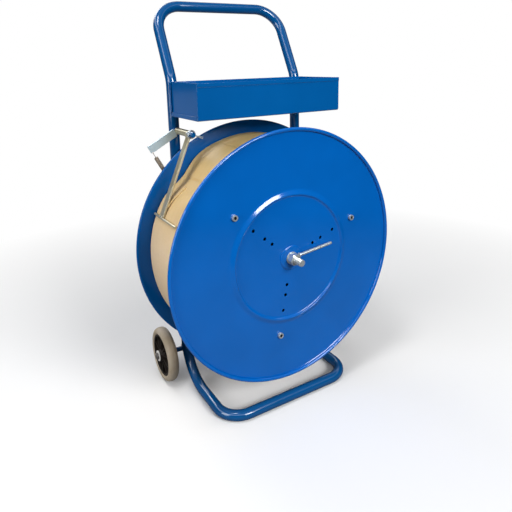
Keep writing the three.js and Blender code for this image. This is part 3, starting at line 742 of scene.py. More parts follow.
class REELDISPENSER_OT_frame_tubes(bpy.types.Operator):
    """Builds the bent handle tube and base tube"""

    bl_idname = "reel_dispenser.frame_tubes"
    bl_label = "Frame tubes"

    def execute(self, context):
        radius = sizes().tube_radius
        wall = 0.0015
        x, y = upright_x(), upright_y()
        joint = middle("tube_spigot_left").z
        gap = 0.00015
        bar_y = high("handle_tube").y - radius
        bar_z = high("handle_tube").z - radius
        knee_z = high("tray_body").z + 0.0019
        handle = bent_points([((-x, y, joint + gap), 0), ((-x, y, knee_z), 0.06), ((-x, bar_y, bar_z), 0.065),
                              ((x, bar_y, bar_z), 0.065), ((x, y, knee_z), 0.06), ((x, y, joint + gap), 0)])
        made = hollow_sweep("handle_hoop", handle, radius, wall)
        drill_z = middle("tray_screw_left").z
        subtract(made, [drill(BOLT_HOLE_R, side * x, drill_z, y - 0.03, y + 0.03) for side in (-1, 1)])
        made.data.set_sharp_from_angle(angle=math.radians(50))
        finish_piece(made, "blue_paint", "trolley", "handle_tube", surface="tube_shade_painted")
        front = low("base_tube").y + radius
        base = bent_points([((-x, y, joint - gap), 0), ((-x, y, radius), 0.095), ((-x, front, radius), 0.055),
                            ((x, front, radius), 0.055), ((x, y, radius), 0.095), ((x, y, joint - gap), 0)])
        finish_piece(hollow_sweep("base_loop", base, radius, wall), "blue_paint", "trolley", "base_tube",
                     surface="tube_shade_painted")
        for node in ("tube_spigot_left", "tube_spigot_right"):
            refinish(node, "zinc")
        return {"FINISHED"}


class REELDISPENSER_OT_crossbar(bpy.types.Operator):
    """Builds the crossbar that holds the spindle, with its welds to the uprights"""

    bl_idname = "reel_dispenser.crossbar"
    bl_label = "Crossbar"

    def execute(self, context):
        refinish("crossbar", "tube_shade_painted", 0.0012)
        lowest, highest = BOXES["crossbar"]
        x, y, radius = upright_x(), upright_y(), sizes().tube_radius
        beads = []
        for side in (-1, 1):
            for level in (lowest.z, highest.z):
                angles = (math.radians(-42 + 84 * k / 18) for k in range(19))
                route = [Vector((side * (x - radius * math.cos(angle)), y + radius * math.sin(angle), level))
                         for angle in angles]
                beads.append(weld("bead", route, 0.0018, level * side))
        finish_piece(merged("crossbar_welds", beads, 80), "blue_paint", "trolley", surface="tube_shade_painted")
        return {"FINISHED"}


# ---------------------------------------------------------------- tray

class REELDISPENSER_OT_tray(bpy.types.Operator):
    """Builds the folded tray, its end plates and its fasteners"""

    bl_idname = "reel_dispenser.tray"
    bl_label = "Tray"

    FOLD_STEPS = 4

    def execute(self, context):
        self.build_body()
        for side in ("left", "right"):
            self.build_end(side)
            self.build_fastener(side)
        return {"FINISHED"}

    def build_body(self):
        """Front, floor and back in one folded sheet carried along X, with turned-in end flanges."""
        lowest, highest = BOXES["tray_body"]
        bend = sizes().sheet_bend
        lip = 0.009
        hem = 0.0011
        outline = [(lowest.y - hem, highest.z), (lowest.y - hem, highest.z - 0.008),
                   (lowest.y, highest.z - 0.009), (lowest.y, lowest.z), (highest.y, lowest.z),
                   (highest.y, highest.z), (highest.y - GAUGE, highest.z),
                   (highest.y - GAUGE, lowest.z + GAUGE), (lowest.y + GAUGE, lowest.z + GAUGE),
                   (lowest.y + GAUGE, highest.z)]
        radii = [EDGE_ROUNDING] * len(outline)
        radii[3] = radii[4] = bend
        radii[7] = radii[8] = bend - GAUGE
        rounded = fillet(outline, radii, self.FOLD_STEPS)
        built = bmesh.new()
        ends = []
        for x in (lowest.x + 0.0006, highest.x - 0.0006):
            ends.append([built.verts.new((x, y, z)) for y, z in rounded])
        bridge(built, *ends)
        for end in ends:
            built.faces.new(end)
        per_corner = self.FOLD_STEPS + 1
        outer_edges = [built.edges.get((end[k], end[k + 1])) for end in ends
                       for k in range(3 * per_corner - 1, 5 * per_corner)]
        bmesh.ops.bevel(built, geom=outer_edges, offset=0.0017, segments=4, profile=0.5, affect="EDGES",
                        clamp_overlap=False)
        channel = to_object("channel", built, 35)
        screw_x = middle("tray_screw_right").x
        subtract(channel, [drill(BOLT_HOLE_R, side * screw_x, middle("tray_screw_left").z,
                                 highest.y - 0.01, highest.y + 0.01) for side in (-1, 1)])
        pieces = [channel]
        for side in (-1, 1):
            pieces += self.end_flanges(side, lowest, highest, lip)
        made = merged("tray_folded_body", pieces, 35)
        finish_piece(made, "blue_paint", "trolley", "tray_body", surface="tray_shade_painted")

    def end_flanges(self, side, lowest, highest, lip):
        """Three strips turned in at an end, mitred where they meet, with a hair gap at each mitre."""
        outer = side * highest.x
        gap = 0.0014
        y0, y1, z0, z1 = lowest.y, highest.y, lowest.z, highest.z
        strips = [
            [(y0 + 0.001, z0 + 0.0012 + gap), (y0 + lip, z0 + lip + gap), (y0 + lip, z1), (y0 + 0.001, z1)],
            [(y0 + 0.0012 + gap, z0 + 0.001), (y1 - 0.0012 - gap, z0 + 0.001), (y1 - lip - gap, z0 + lip),
             (y0 + lip + gap, z0 + lip)],
            [(y1 - 0.001, z0 + 0.0012 + gap), (y1 - 0.001, z1), (y1 - lip, z1), (y1 - lip, z0 + lip + gap)],
        ]
        made = []
        for strip in strips:
            plate = cut_plate("strip", fillet(strip, 0.0006, 2), 0, GAUGE, 0.0003)
            offset = outer if side > 0 else outer + GAUGE
            plate.data.transform(Matrix.Translation((offset, 0, 0)) @ Matrix.Rotation(math.pi / 2, 4, "Z"))
            made.append(plate)
        return made

    def build_end(self, side):
        node = f"tray_end_{side}"
        lowest, highest = (corner.copy() for corner in BOXES[node])
        recess = 0.0011
        if side == "left":
            lowest.x += recess
        else:
            highest.x -= recess
        made = block(f"tray_{side}_end_plate", lowest, highest, 0.0004)
        finish_piece(made, "blue_paint", "trolley", node, surface="tray_shade_painted")

    def build_fastener(self, side):
        head_low, head_high = BOXES[f"tray_screw_{side}"]
        at = middle(f"tray_screw_{side}")
        radius = 0.0055
        dome = [(0, head_low.y), (0.0024, head_low.y + 0.0002), (0.0042, head_low.y + 0.001),
                (radius, head_low.y + 0.0028), (radius, head_low.y + 0.0035), (0.003, head_low.y + 0.0035)]
        shank_top = head_high.y
        thread = []
        pitch = 1 * MM
        y = high(f"tray_nut_{side}").y - 0.001
        while y < shank_top - 0.001:
            thread += [(0.003, y), (0.0026, y + pitch / 2)]
            y += pitch
        profile = dome + thread + [(0.0026, shank_top - 0.0005), (0.002, shank_top), (0, shank_top)]
        screw = revolve(f"tray_bolt_{side}", profile, (at.x, 0, at.z), "Y", 32, 30)
        socket = cut_plate("socket", hexagon(0.004), head_low.y - 0.002, head_low.y + 0.002, 0.00005)
        socket.data.transform(Matrix.Translation((at.x, 0, at.z)))
        subtract(screw, [socket])
        screw.data.set_sharp_from_angle(angle=math.radians(30))
        finish_piece(screw, "zinc", "trolley", f"tray_screw_{side}")
        nut_low, nut_high = BOXES[f"tray_nut_{side}"]
        nut = hex_nut(f"tray_back_nut_{side}", 0.01, BOLT_HOLE_R, nut_low.y, nut_high.y, at.x, at.z)
        finish_piece(nut, "zinc", "trolley", f"tray_nut_{side}")


def hex_nut(name, across_flats, bore, y0, y1, x, z):
    """A hexagon nut with chamfered corners and a chamfered bore."""
    corner = across_flats / 2 / math.cos(math.pi / 6)
    body = cut_plate(name, hexagon(across_flats), y0, y1, 0.0002, [circle(bore)])
    chamfer = (corner - across_flats / 2) * 1.05
    rise = chamfer * 0.6
    outer = corner * 1.3
    rings = []
    for edge, direction in ((y0, 1), (y1, -1)):
        profile = [(across_flats / 2 * 0.985, edge - direction * 0.001), (outer, edge - direction * 0.001),
                   (outer, edge + direction * (rise + (outer - corner) * 0.6)),
                   (across_flats / 2 * 0.985, edge - direction * 0.0001)]
        rings.append(revolve("chamfer", profile, (0, 0, 0), "Y", 64))
    subtract(body, rings)
    body.data.transform(Matrix.Translation((x, 0, z)))
    body.data.set_sharp_from_angle(angle=math.radians(20))
    return body


# ---------------------------------------------------------------- reel

class REELDISPENSER_OT_flanges(bpy.types.Operator):
    """Builds the two pressed flanges of the reel with their bosses"""

    bl_idname = "reel_dispenser.flanges"
    bl_label = "Flanges"

    # radii where the pressed ring starts, where its crest starts and ends, and where it ends
    RING_RADII = (0.142, 0.1452, 0.1474, 0.1566)
    FLAT_TO = 0.2
    SUPPORT_HOLE_R = 4.5 * MM
    SPARE_HOLE_R = 3.9 * MM

    def execute(self, context):
        bore = 0.0086
        front = self.pressing("front_disc", FRONT_FACE, 1, bore)
        finish_piece(front, "blue_paint", "reel", "front_flange")
        rear = self.pressing("rear_disc", REAR_FACE, -1, bore)
        # the rear flange takes the darker copy of the coat: painted shade
        finish_piece(rear, "blue_paint", "reel", "rear_flange", surface="rear_flange_shade_painted")
        rise, boss_r = 0.003, 0.029
        profile = [(bore, 0.0002), (boss_r, 0.0002), (boss_r, -0.0012), (0.0265, -rise), (bore, -rise)]
        for node, face, inward in (("front_boss", FRONT_FACE, 1), ("rear_boss", REAR_FACE, -1)):
            placed = [(r, face + inward * h) for r, h in fillet(profile, 0.0009, 4)]
            boss = revolve(node.replace("_boss", "_hub_plate"), placed, REEL_AXIS, "Y", 96, 30)
            finish_piece(boss, "blue_paint", "reel", node)
        return {"FINISHED"}

    def pressing(self, name, face, inward, bore):
        """inward is +1 when the reel lies towards +Y of this flange's outer face."""
        bead = sizes().bead_radius
        rise = sizes().rib_rise
        middle_r = FLANGE_R - bead
        ring = [(bore, 0), *zip(self.RING_RADII, (0, -rise, -rise, 0)), (self.FLAT_TO, 0)]
        outer_skin = fillet(ring, 0.0034, 5, closed=False)
        inner_skin = [(r, h + GAUGE) for r, h in outer_skin]
        roll = [(middle_r + bead * math.cos(a), GAUGE - bead + bead * math.sin(a))
                for a in (math.radians(90 - 15 * k) for k in range(21))]
        curl = [(middle_r - bead * 1.02, -0.0006), (middle_r - bead * 1.2, 0)]
        whole = inner_skin + roll + curl + outer_skin[::-1]
        placed = [(r, face + inward * h) for r, h in whole]
        made = revolve(name, placed, REEL_AXIS, "Y", 192, 32)
        holes = [(SUPPORT_PITCH, self.SUPPORT_HOLE_R), *((pitch, self.SPARE_HOLE_R) for pitch in HOLE_CIRCLES)]
        subtract(made, [drill(hole_r, *on_reel(pitch, angle), face - 0.01, face + 0.01)
                        for angle in SUPPORT_ANGLES for pitch, hole_r in holes])
        made.data.set_sharp_from_angle(angle=math.radians(32))
        return made


SCREW_HEAD = 5.8 * MM
SOCKET_REACH = 3.7 * MM


def cap_screw(name, face, inward, x, z):
    """A socket-head cap screw with a knurled head on an outer face."""
    head_r, shank = 0.0066, 0.004
    outline = [(px * (1 - 0.022 * (k % 2)), pz * (1 - 0.022 * (k % 2)))
               for k, (px, pz) in enumerate(circle(head_r, 72))]
    top, under = face - inward * (SCREW_HEAD + 0.0003), face - inward * 0.0003
    floor_of_socket = under - inward * 0.0008
    y0, y1 = sorted((top, floor_of_socket))
    collar = cut_plate(name, outline, y0, y1, 0.0004, [hexagon(0.0066, 0.3)])
    y0, y1 = sorted((floor_of_socket + inward * 0.0001, under))
    head = merged(name, [collar, cut_plate("seat", circle(head_r * 0.97), y0, y1, 0.0002)], 30)
    y0, y1 = sorted((under - inward * 0.0002, face + inward * 0.013))
    body = revolve("shank", fillet([(0, y0), (shank, y0), (shank, y1), (0, y1)], 0.0005, 2, closed=False),
                   (0, 0, 0), "Y", 24)
    made = merged(name, [head, body], 30)
    made.data.transform(Matrix.Translation((x, 0, z)))
    return made


def darken_socket(made, face, x, z):
    """Paints shade on the walls and the bottom of a socket with the near-black finish."""
    made.data.materials.append(finish_of("socket_shade"))
    for polygon in made.data.polygons:
        reach = math.hypot(polygon.center.x - x, polygon.center.z - z)
        proud = abs(polygon.center.y - face)
        outward = (polygon.center.y - face) * (1 if face > 0 else -1) > 0
        if reach < SOCKET_REACH and outward and proud < SCREW_HEAD:
            polygon.material_index = 1


class REELDISPENSER_OT_reel_hub(bpy.types.Operator):
    """Builds the hub, core supports, screws and the spindle with its spacer and rear nut"""

    bl_idname = "reel_dispenser.reel_hub"
    bl_label = "Hub and spindle"

    def execute(self, context):
        for number, angle in enumerate(SUPPORT_ANGLES, 1):
            x, z = on_reel(SUPPORT_PITCH, angle)
            for end, face, inward in (("front", FRONT_FACE, 1), ("rear", REAR_FACE, -1)):
                screw = cap_screw(f"{end}_cap_screw_{number}", face, inward, x, z)
                finish_piece(screw, "zinc", "reel", f"{end}_screw_{number}")
                darken_socket(screw, face, x, z)
            refinish(f"core_support_{number}", "zinc", 0.0008)
        for node, slot in (("hub_tube", "zinc"), ("hub_bush_front", "nylon"), ("hub_bush_rear", "nylon")):
            refinish(node, slot, 0.0005)
        self.build_spindle()
        return {"FINISHED"}

    def build_spindle(self):
        lowest, highest = BOXES["spindle"]
        radius, pitch, depth = SPINDLE_R, 0.0015, 0.0006
        lead, chamfer = radius - 0.0004, radius - 0.0016
        nut_start = low("spindle_rear_nut").y
        front, y = thread_profile(lowest.y + 0.0014, FRONT_FACE + 0.012, radius, pitch, depth)
        rear, _ = thread_profile(nut_start - 0.003, highest.y - 0.0025, radius, pitch, depth)
        profile = [(0, lowest.y), (chamfer, lowest.y), (lead, lowest.y + 0.0012), *front,
                   (radius, y + pitch), (radius, nut_start - 0.004), *rear,
                   (lead, highest.y - 0.0012), (chamfer, highest.y), (0, highest.y)]
        bar = revolve("threaded_spindle", profile, REEL_AXIS, "Y", 48, 28)
        finish_piece(bar, "zinc", "trolley", "spindle")
        refinish("spindle_spacer", "zinc", 0.0008)
        nut_low, nut_high = BOXES["spindle_rear_nut"]
        nut = hex_nut("crossbar_nut", NUT_ACROSS_FLATS, SPINDLE_BORE, nut_low.y, nut_high.y, 0, REEL_AXIS.z)
        finish_piece(nut, "zinc", "trolley", "spindle_rear_nut")


class REELDISPENSER_OT_lever_nut(bpy.types.Operator):
    """Builds the lever nut that sets the drag, its welded rod and its thrust washer"""

    bl_idname = "reel_dispenser.lever_nut"
    bl_label = "Lever nut"

    def execute(self, context):
        lowest, highest = BOXES["thrust_washer"]
        ring = washer_profile(SPINDLE_BORE, highest.x, lowest.y, highest.y, 0.0005)
        finish_piece(revolve("drag_washer_ring", ring, REEL_AXIS, "Y", 72, 30), "zinc", "drag_washer",
                     "thrust_washer")
        lowest, highest = BOXES["lever_nut"]
        nut = hex_nut("drag_hex_nut", NUT_ACROSS_FLATS, SPINDLE_BORE, lowest.y, highest.y, 0, REEL_AXIS.z)
        finish_piece(nut, "zinc", "drag_nut", "lever_nut")
        self.build_rod()
        return {"FINISHED"}

    def build_rod(self):
        lowest, highest = BOXES["lever_rod"]
        radius = (highest.y - lowest.y) / 2
        slope = math.radians(6.3)
        tip = Vector((highest.x - radius * 0.3, middle("lever_rod").y, highest.z - radius))
        along = Vector((-math.cos(slope), 0, -math.sin(slope)))
        root = tip + along * 0.0915
        route = line_route(tip, root, 30)
        ends = {0: 0.55, 1: 0.93}
        route[1] = tip + along * 0.0012
        rod = sweep("rod", route, lambda i: radius * ends.get(i, 1.0), 32)
        bead = weld("bead", ring_route(root, radius * 1.04, along, 26), 0.0018, 4.0)
        made = merged("drag_lever_rod", [rod, bead], 60)
        finish_piece(made, "zinc", "drag_nut", "lever_rod")


class REELDISPENSER_OT_coil(bpy.types.Operator):
    """Builds the wound strap, its loose end and the cardboard core"""

    bl_idname = "reel_dispenser.coil"
    bl_label = "Strap coil"

    SAG_ANGLE = 135.0
    SAG_SPREAD = 10.0
    SAG_DEPTH = 0.0135
    SEAM_ANGLE = 133.5
    SEAM_SPAN = 24.0
    SEAM_RISE = 1.8 * MM
    LAP_RISE = 0.28 * MM
    UNEVENNESS = 0.5 * MM
    SHOULDER = 6 * MM
    SHOULDER_DROP = 2.2 * MM
    INNER_R = 0.209

    def execute(self, context):
        self.build_coil()
        self.build_loose_end()
        refinish("coil_core", "cardboard", 0.0004)
        return {"FINISHED"}

    def surface(self, degrees, y):
        """Radius of the wound surface: sagged on one side, stepped where one strap lies beside the next."""
        away = (degrees - self.SAG_ANGLE) / self.SAG_SPREAD
        front, rear = low("strap_coil").y, high("strap_coil").y
        slump = self.SAG_DEPTH * (0.55 + 0.45 * (y - front) / (rear - front))
        radius = COIL_R - slump * math.exp(-away * away)
        width = sizes().strap_width
        drift = 0.004 * math.sin(math.radians(degrees) * 0.5)
        across = (y - front + drift) / width
        step = across - math.floor(across)
        radius += self.LAP_RISE * (0.5 - step)
        radius += self.UNEVENNESS * noise.noise(Vector((math.cos(math.radians(degrees)) * 3,
                                                         math.sin(math.radians(degrees)) * 3, y * 25)))
        edge = min(y - front, rear - y)
        if edge < self.SHOULDER:
            radius -= self.SHOULDER_DROP * (1 - edge / self.SHOULDER) ** 2
        inside = front + 0.02 < y < rear - 0.025
        if inside and self.SEAM_ANGLE - self.SEAM_SPAN < degrees < self.SEAM_ANGLE:
            radius += self.SEAM_RISE
        return radius

    def build_coil(self):
        front, rear = low("strap_coil").y, high("strap_coil").y
        inner = self.INNER_R
        turns, rows, layers = 540, 72, 40
        built = bmesh.new()
        columns = []
        for k in range(turns):
            degrees = 360 * k / turns
            angle = math.radians(degrees)
            outline = []
            for row in range(rows + 1):
                y = front + (rear - front) * row / rows
                outline.append((self.surface(degrees, y), y))
            rim_front, rim_rear = outline[0][0], outline[-1][0]
            for layer in range(1, layers + 1):
                t = layer / layers
                ripple = 0.00045 * math.sin(layer * 2.4 + angle) + 0.0003 * math.sin(layer * 5.1)
                outline.append((rim_rear + (inner - rim_rear) * t, rear - abs(ripple)))
            for layer in range(1, layers):
                t = layer / layers
                ripple = 0.00045 * math.sin(layer * 3.1 + angle) + 0.0003 * math.sin(layer * 4.3)
                outline.append((inner + (rim_front - inner) * t, front + abs(ripple)))
            columns.append([built.verts.new((r * math.cos(angle), y, r * math.sin(angle)))
                            for r, y in outline])
        for here, after in zip(columns, columns[1:] + columns[:1]):
            bridge(built, here, after)
        built.transform(Matrix.Translation(REEL_AXIS))
        finish_piece(to_object("wound_strap", built, 60), "strap", "reel", "strap_coil")

    def build_loose_end(self):
        """The last turn's end, springing off the coil at its tip."""
        half = sizes().strap_width / 2 + 0.001
        thickness = 0.0016
        start, end = 139.5, 151.8
        steps, across = 48, 8
        centre = middle("strap_end").y
        built = bmesh.new()
        skins = []
        for level in (0, thickness):
            rows = []
            for k in range(steps + 1):
                t = k / steps
                degrees = start + (end - start) * t
                lift = 0.0002 + 0.0055 * max(0.0, t - 0.3) ** 1.5
                y_mid = centre - 0.013 + 0.009 * t
                row = []
                for j in range(across + 1):
                    s = 2 * j / across - 1
                    y = y_mid + s * half
                    radius = self.surface(degrees, y) + lift + level - 0.0002 * s * s
                    angle = math.radians(degrees)
                    row.append(built.verts.new((radius * math.cos(angle), y, radius * math.sin(angle))))
                rows.append(row)
            skins.append(rows)
        for rows in skins:
            for first, second in zip(rows, rows[1:]):
                for j in range(across):
                    built.faces.new([first[j], first[j + 1], second[j + 1], second[j]])
        bridge(built, *([row[0] for row in rows] + rows[-1][1:]
                        + [row[-1] for row in reversed(rows[:-1])] + rows[0][-2:0:-1] for rows in skins))
        built.transform(Matrix.Translation(REEL_AXIS))
        finish_piece(to_object("loose_strap_end", built, 50), "strap", "reel", "strap_end")


# ---------------------------------------------------------------- pressure arm

class REELDISPENSER_OT_pressure_arm(bpy.types.Operator):
    """Builds the pressure arm: sleeve, flat bar, presser rod and spring lever, welded together"""

    bl_idname = "reel_dispenser.pressure_arm"
    bl_label = "Pressure arm"

    def execute(self, context):
        self.build_sleeve()
        self.build_bar()
        self.build_presser()
        self.build_lever()
        self.build_pivot()
        return {"FINISHED"}

    def build_sleeve(self):
        lowest, highest = BOXES["arm_sleeve"]
        outer = (highest.x - lowest.x) / 2
        profile = washer_profile(ROD_BORE, outer, lowest.y, highest.y, 0.0006)
        sleeve = revolve("arm_pivot_sleeve", profile, PIVOT, "Y", 64, 30)
        finish_piece(sleeve, "zinc", "pressure_arm", "arm_sleeve", surface="coil_reflection_zinc")

    def along(self):
        direction = Vector((PRESSER.x, 0, PRESSER.z)) - PIVOT
        return direction.normalized(), direction.length

    def build_bar(self):
        """A flat bar with rounded edges, and the welds at both ends."""
        direction, length = self.along()
        normal = Vector((direction.z, 0, -direction.x))
        lowest, highest = BOXES["arm_bar"]
        y0, y1 = lowest.y, highest.y
        half = 0.0021
        start, stop = 0.0072, length - 0.0026
        section = fillet([(y0, -half), (y1, -half), (y1, half), (y0, half)], 0.0009, 4)
        lengths = 40
        built = bmesh.new()
        rings = []
        for k in range(lengths + 1):
            centre = PIVOT + direction * (start + (stop - start) * k / lengths)
            rings.append([built.verts.new(centre + normal * n + Vector((0, y, 0))) for y, n in section])
        for first, second in zip(rings, rings[1:]):
            bridge(built, first, second)
        built.faces.new(rings[0])
        built.faces.new(rings[-1])
        bar = to_object("bar", built, 35)
        beads = []
        for offset in (-half, half):
            for reach, size, seed in ((0.0078, 0.0015, offset * 900),
                                      (length - 0.0034, 0.0014, offset * 700)):
                root = PIVOT + direction * reach + normal * offset
                line = line_route(root + Vector((0, y0, 0)), root + Vector((0, y1, 0)), 18)
                beads.append(weld("bead", line, size, seed))
        finish_piece(merged("arm_flat_bar", [bar, *beads], 45), "zinc", "pressure_arm", "arm_bar",
                     surface="coil_reflection_zinc")

    def build_presser(self):
        """The rod across the coil: rounded ends, the front one bent a little towards the coil."""
        lowest, highest = BOXES["presser_rod"]
        radius = (highest.x - lowest.x) / 2
        inward = Vector((-PRESSER.x, 0, REEL_AXIS.z - PRESSER.z)).normalized()
        bent_length, bend_depth = 22 * MM, 2.2 * MM
        steps = 60
        route = []
        for k in range(steps + 1):
            y = lowest.y + 0.0004 + (highest.y - lowest.y - 0.0008) * k / steps
            bend = max(0.0, 1 - (y - lowest.y) / bent_length) ** 2 * bend_depth
            route.append(Vector((PRESSER.x, y, PRESSER.z)) + inward * bend)
        shape = {0: 0.6, steps: 0.6}
        route[1] = route[0].lerp(route[1], 0.45)
        route[-2] = route[-1].lerp(route[-2], 0.45)
        rod = sweep("arm_presser_rod", route, lambda i: radius * shape.get(i, 1.0), 28)
        finish_piece(rod, "zinc", "pressure_arm", "presser_rod", surface="coil_reflection_zinc")

    def build_lever(self):
        """A strip with clipped corners and a hole near its lower corner for the spring hook."""
        lowest, highest = BOXES["spring_lever"]
        toward = (Vector((-0.243, 0, 0.607)) - PIVOT).normalized()
        across = Vector((-toward.z, 0, toward.x))
        half, start, stop = 0.0095, 0.0072, 0.08
        corner = lambda u, v: tuple((PIVOT + toward * u + across * v).xz)
        outline = [corner(start, -half), corner(stop, -half), corner(stop, half), corner(start, half)]
        plate = prism("plate", fillet(outline, 0.0025, 5), lowest.y, highest.y, 0.0006)
        subtract(plate, [drill(0.002, *SPRING_HOOK, lowest.y - 0.002, highest.y + 0.002)])
        beads = []
        for y in (lowest.y, highest.y):
            root = PIVOT + toward * 0.0077 + Vector((0, y, 0))
            reach = across * (half * 0.75)
            beads.append(weld("bead", line_route(root - reach, root + reach, 16), 0.0015, y * 50))
        finish_piece(merged("spring_lever_plate", [plate, *beads], 45), "zinc", "pressure_arm",
                     "spring_lever", surface="bright_zinc")

    def build_pivot(self):
        lowest, highest = BOXES["arm_pivot_rod"]
        radius = (highest.x - lowest.x) / 2
        profile = [(0, lowest.y), (radius - 0.0012, lowest.y), (radius, lowest.y + 0.0012),
                   (radius, highest.y), (0, highest.y)]
        rod = revolve("pivot_stub", fillet(profile, 0.0005, 3, closed=False), PIVOT, "Y", 48, 30)
        root = weld("bead", ring_route((PIVOT.x, highest.y - 0.0008, PIVOT.z), radius * 1.1, (0, 1, 0), 36),
                    0.002, 3.0)
        finish_piece(merged("arm_pivot_stub", [rod, root], 45), "blue_paint", "trolley", "arm_pivot_rod",
                     surface="tube_shade_painted")
        lowest, highest = BOXES["pivot_washer"]
        outer = (highest.x - lowest.x) / 2
        ring = washer_profile(ROD_BORE, outer, lowest.y + 0.003, highest.y, 0.0004)
        finish_piece(revolve("pivot_flat_washer", ring, PIVOT, "Y", 56, 30), "zinc", "trolley",
                     "pivot_washer")
        self.build_split_pin()

    def build_split_pin(self):
        """An eye and two legs that open a little on the far side of the rod."""
        y = middle("split_pin").y
        tilt = Matrix.Rotation(math.radians(20), 3, "Y")
        leg_start, leg_length, gap, splay = -0.0085, 0.0345, 0.0007, 0.0022
        legs = []
        for side in (-1, 1):
            points = []
            for k in range(25):
                t = k / 24
                x = leg_start + leg_length * t
                spread = gap + splay * max(0.0, t - 0.5) ** 1.3
                points.append(PIVOT + tilt @ Vector((x, 0, side * spread)) + Vector((0, y, 0)))
            eye = []
            for k in range(12):
                angle = math.radians(180 - 15 * k) if side > 0 else math.radians(180 + 15 * k)
                eye.append(PIVOT + tilt @ Vector((-0.0118 + 0.003 * math.cos(angle), 0,
                                                   0.0027 * math.sin(angle))) + Vector((0, y, 0)))
            legs.append(sweep("leg", eye + points, 0.00075, 12))
        finish_piece(merged("pivot_split_pin", legs, 60), "zinc", "trolley", "split_pin")


class REELDISPENSER_OT_spring(bpy.types.Operator):
    """Builds the close-wound tension spring with its two hooks, and the stud that it pulls on"""

    bl_idname = "reel_dispenser.spring"
    bl_label = "Tension spring"

    def execute(self, context):
        y = middle("arm_spring").y
        top = Vector((SPRING_HOOK[0], y, SPRING_HOOK[1]))
        bottom = Vector((middle("spring_stud").x, y, middle("spring_stud").z))
        along = (bottom - top).normalized()
        across = Vector((0, 1, 0))
        side = along.cross(across)
        radius, wire = 0.0043, 0.00062
        tail = 0.0135
        length = (bottom - top).length
        turns = 58
        steps = 14
        route = []
        hook = 0.0026
        for k in range(15):
            angle = math.radians(-250 + 250 * k / 14)
            route.append(top + along * (hook - hook * math.cos(angle)) * 0.9
                         + across * hook * math.sin(angle))
        for k in range(turns * steps + 1):
            angle = math.tau * k / steps
            blend = min(1.0, k / steps / 0.75, (turns * steps - k) / steps / 0.75)
            size = radius * max(blend, 0.05)
            at = tail + (length - 2 * tail) * k / (turns * steps)
            route.append(top + along * at + across * size * math.sin(angle) + side * size * math.cos(angle))
        for k in range(15):
            angle = math.radians(250 * k / 14)
            route.append(bottom - along * (hook - hook * math.cos(angle)) * 0.9
                         + across * hook * math.sin(angle))
        spring = sweep("tension_spring", route, wire, 8, 80)
        spring.data.materials.append(finish_of("spring_wire"))
        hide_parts("arm_spring")
        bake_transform(spring)
        refinish("spring_stud", "zinc", 0.0003)
        return {"FINISHED"}


# ---------------------------------------------------------------- wheels

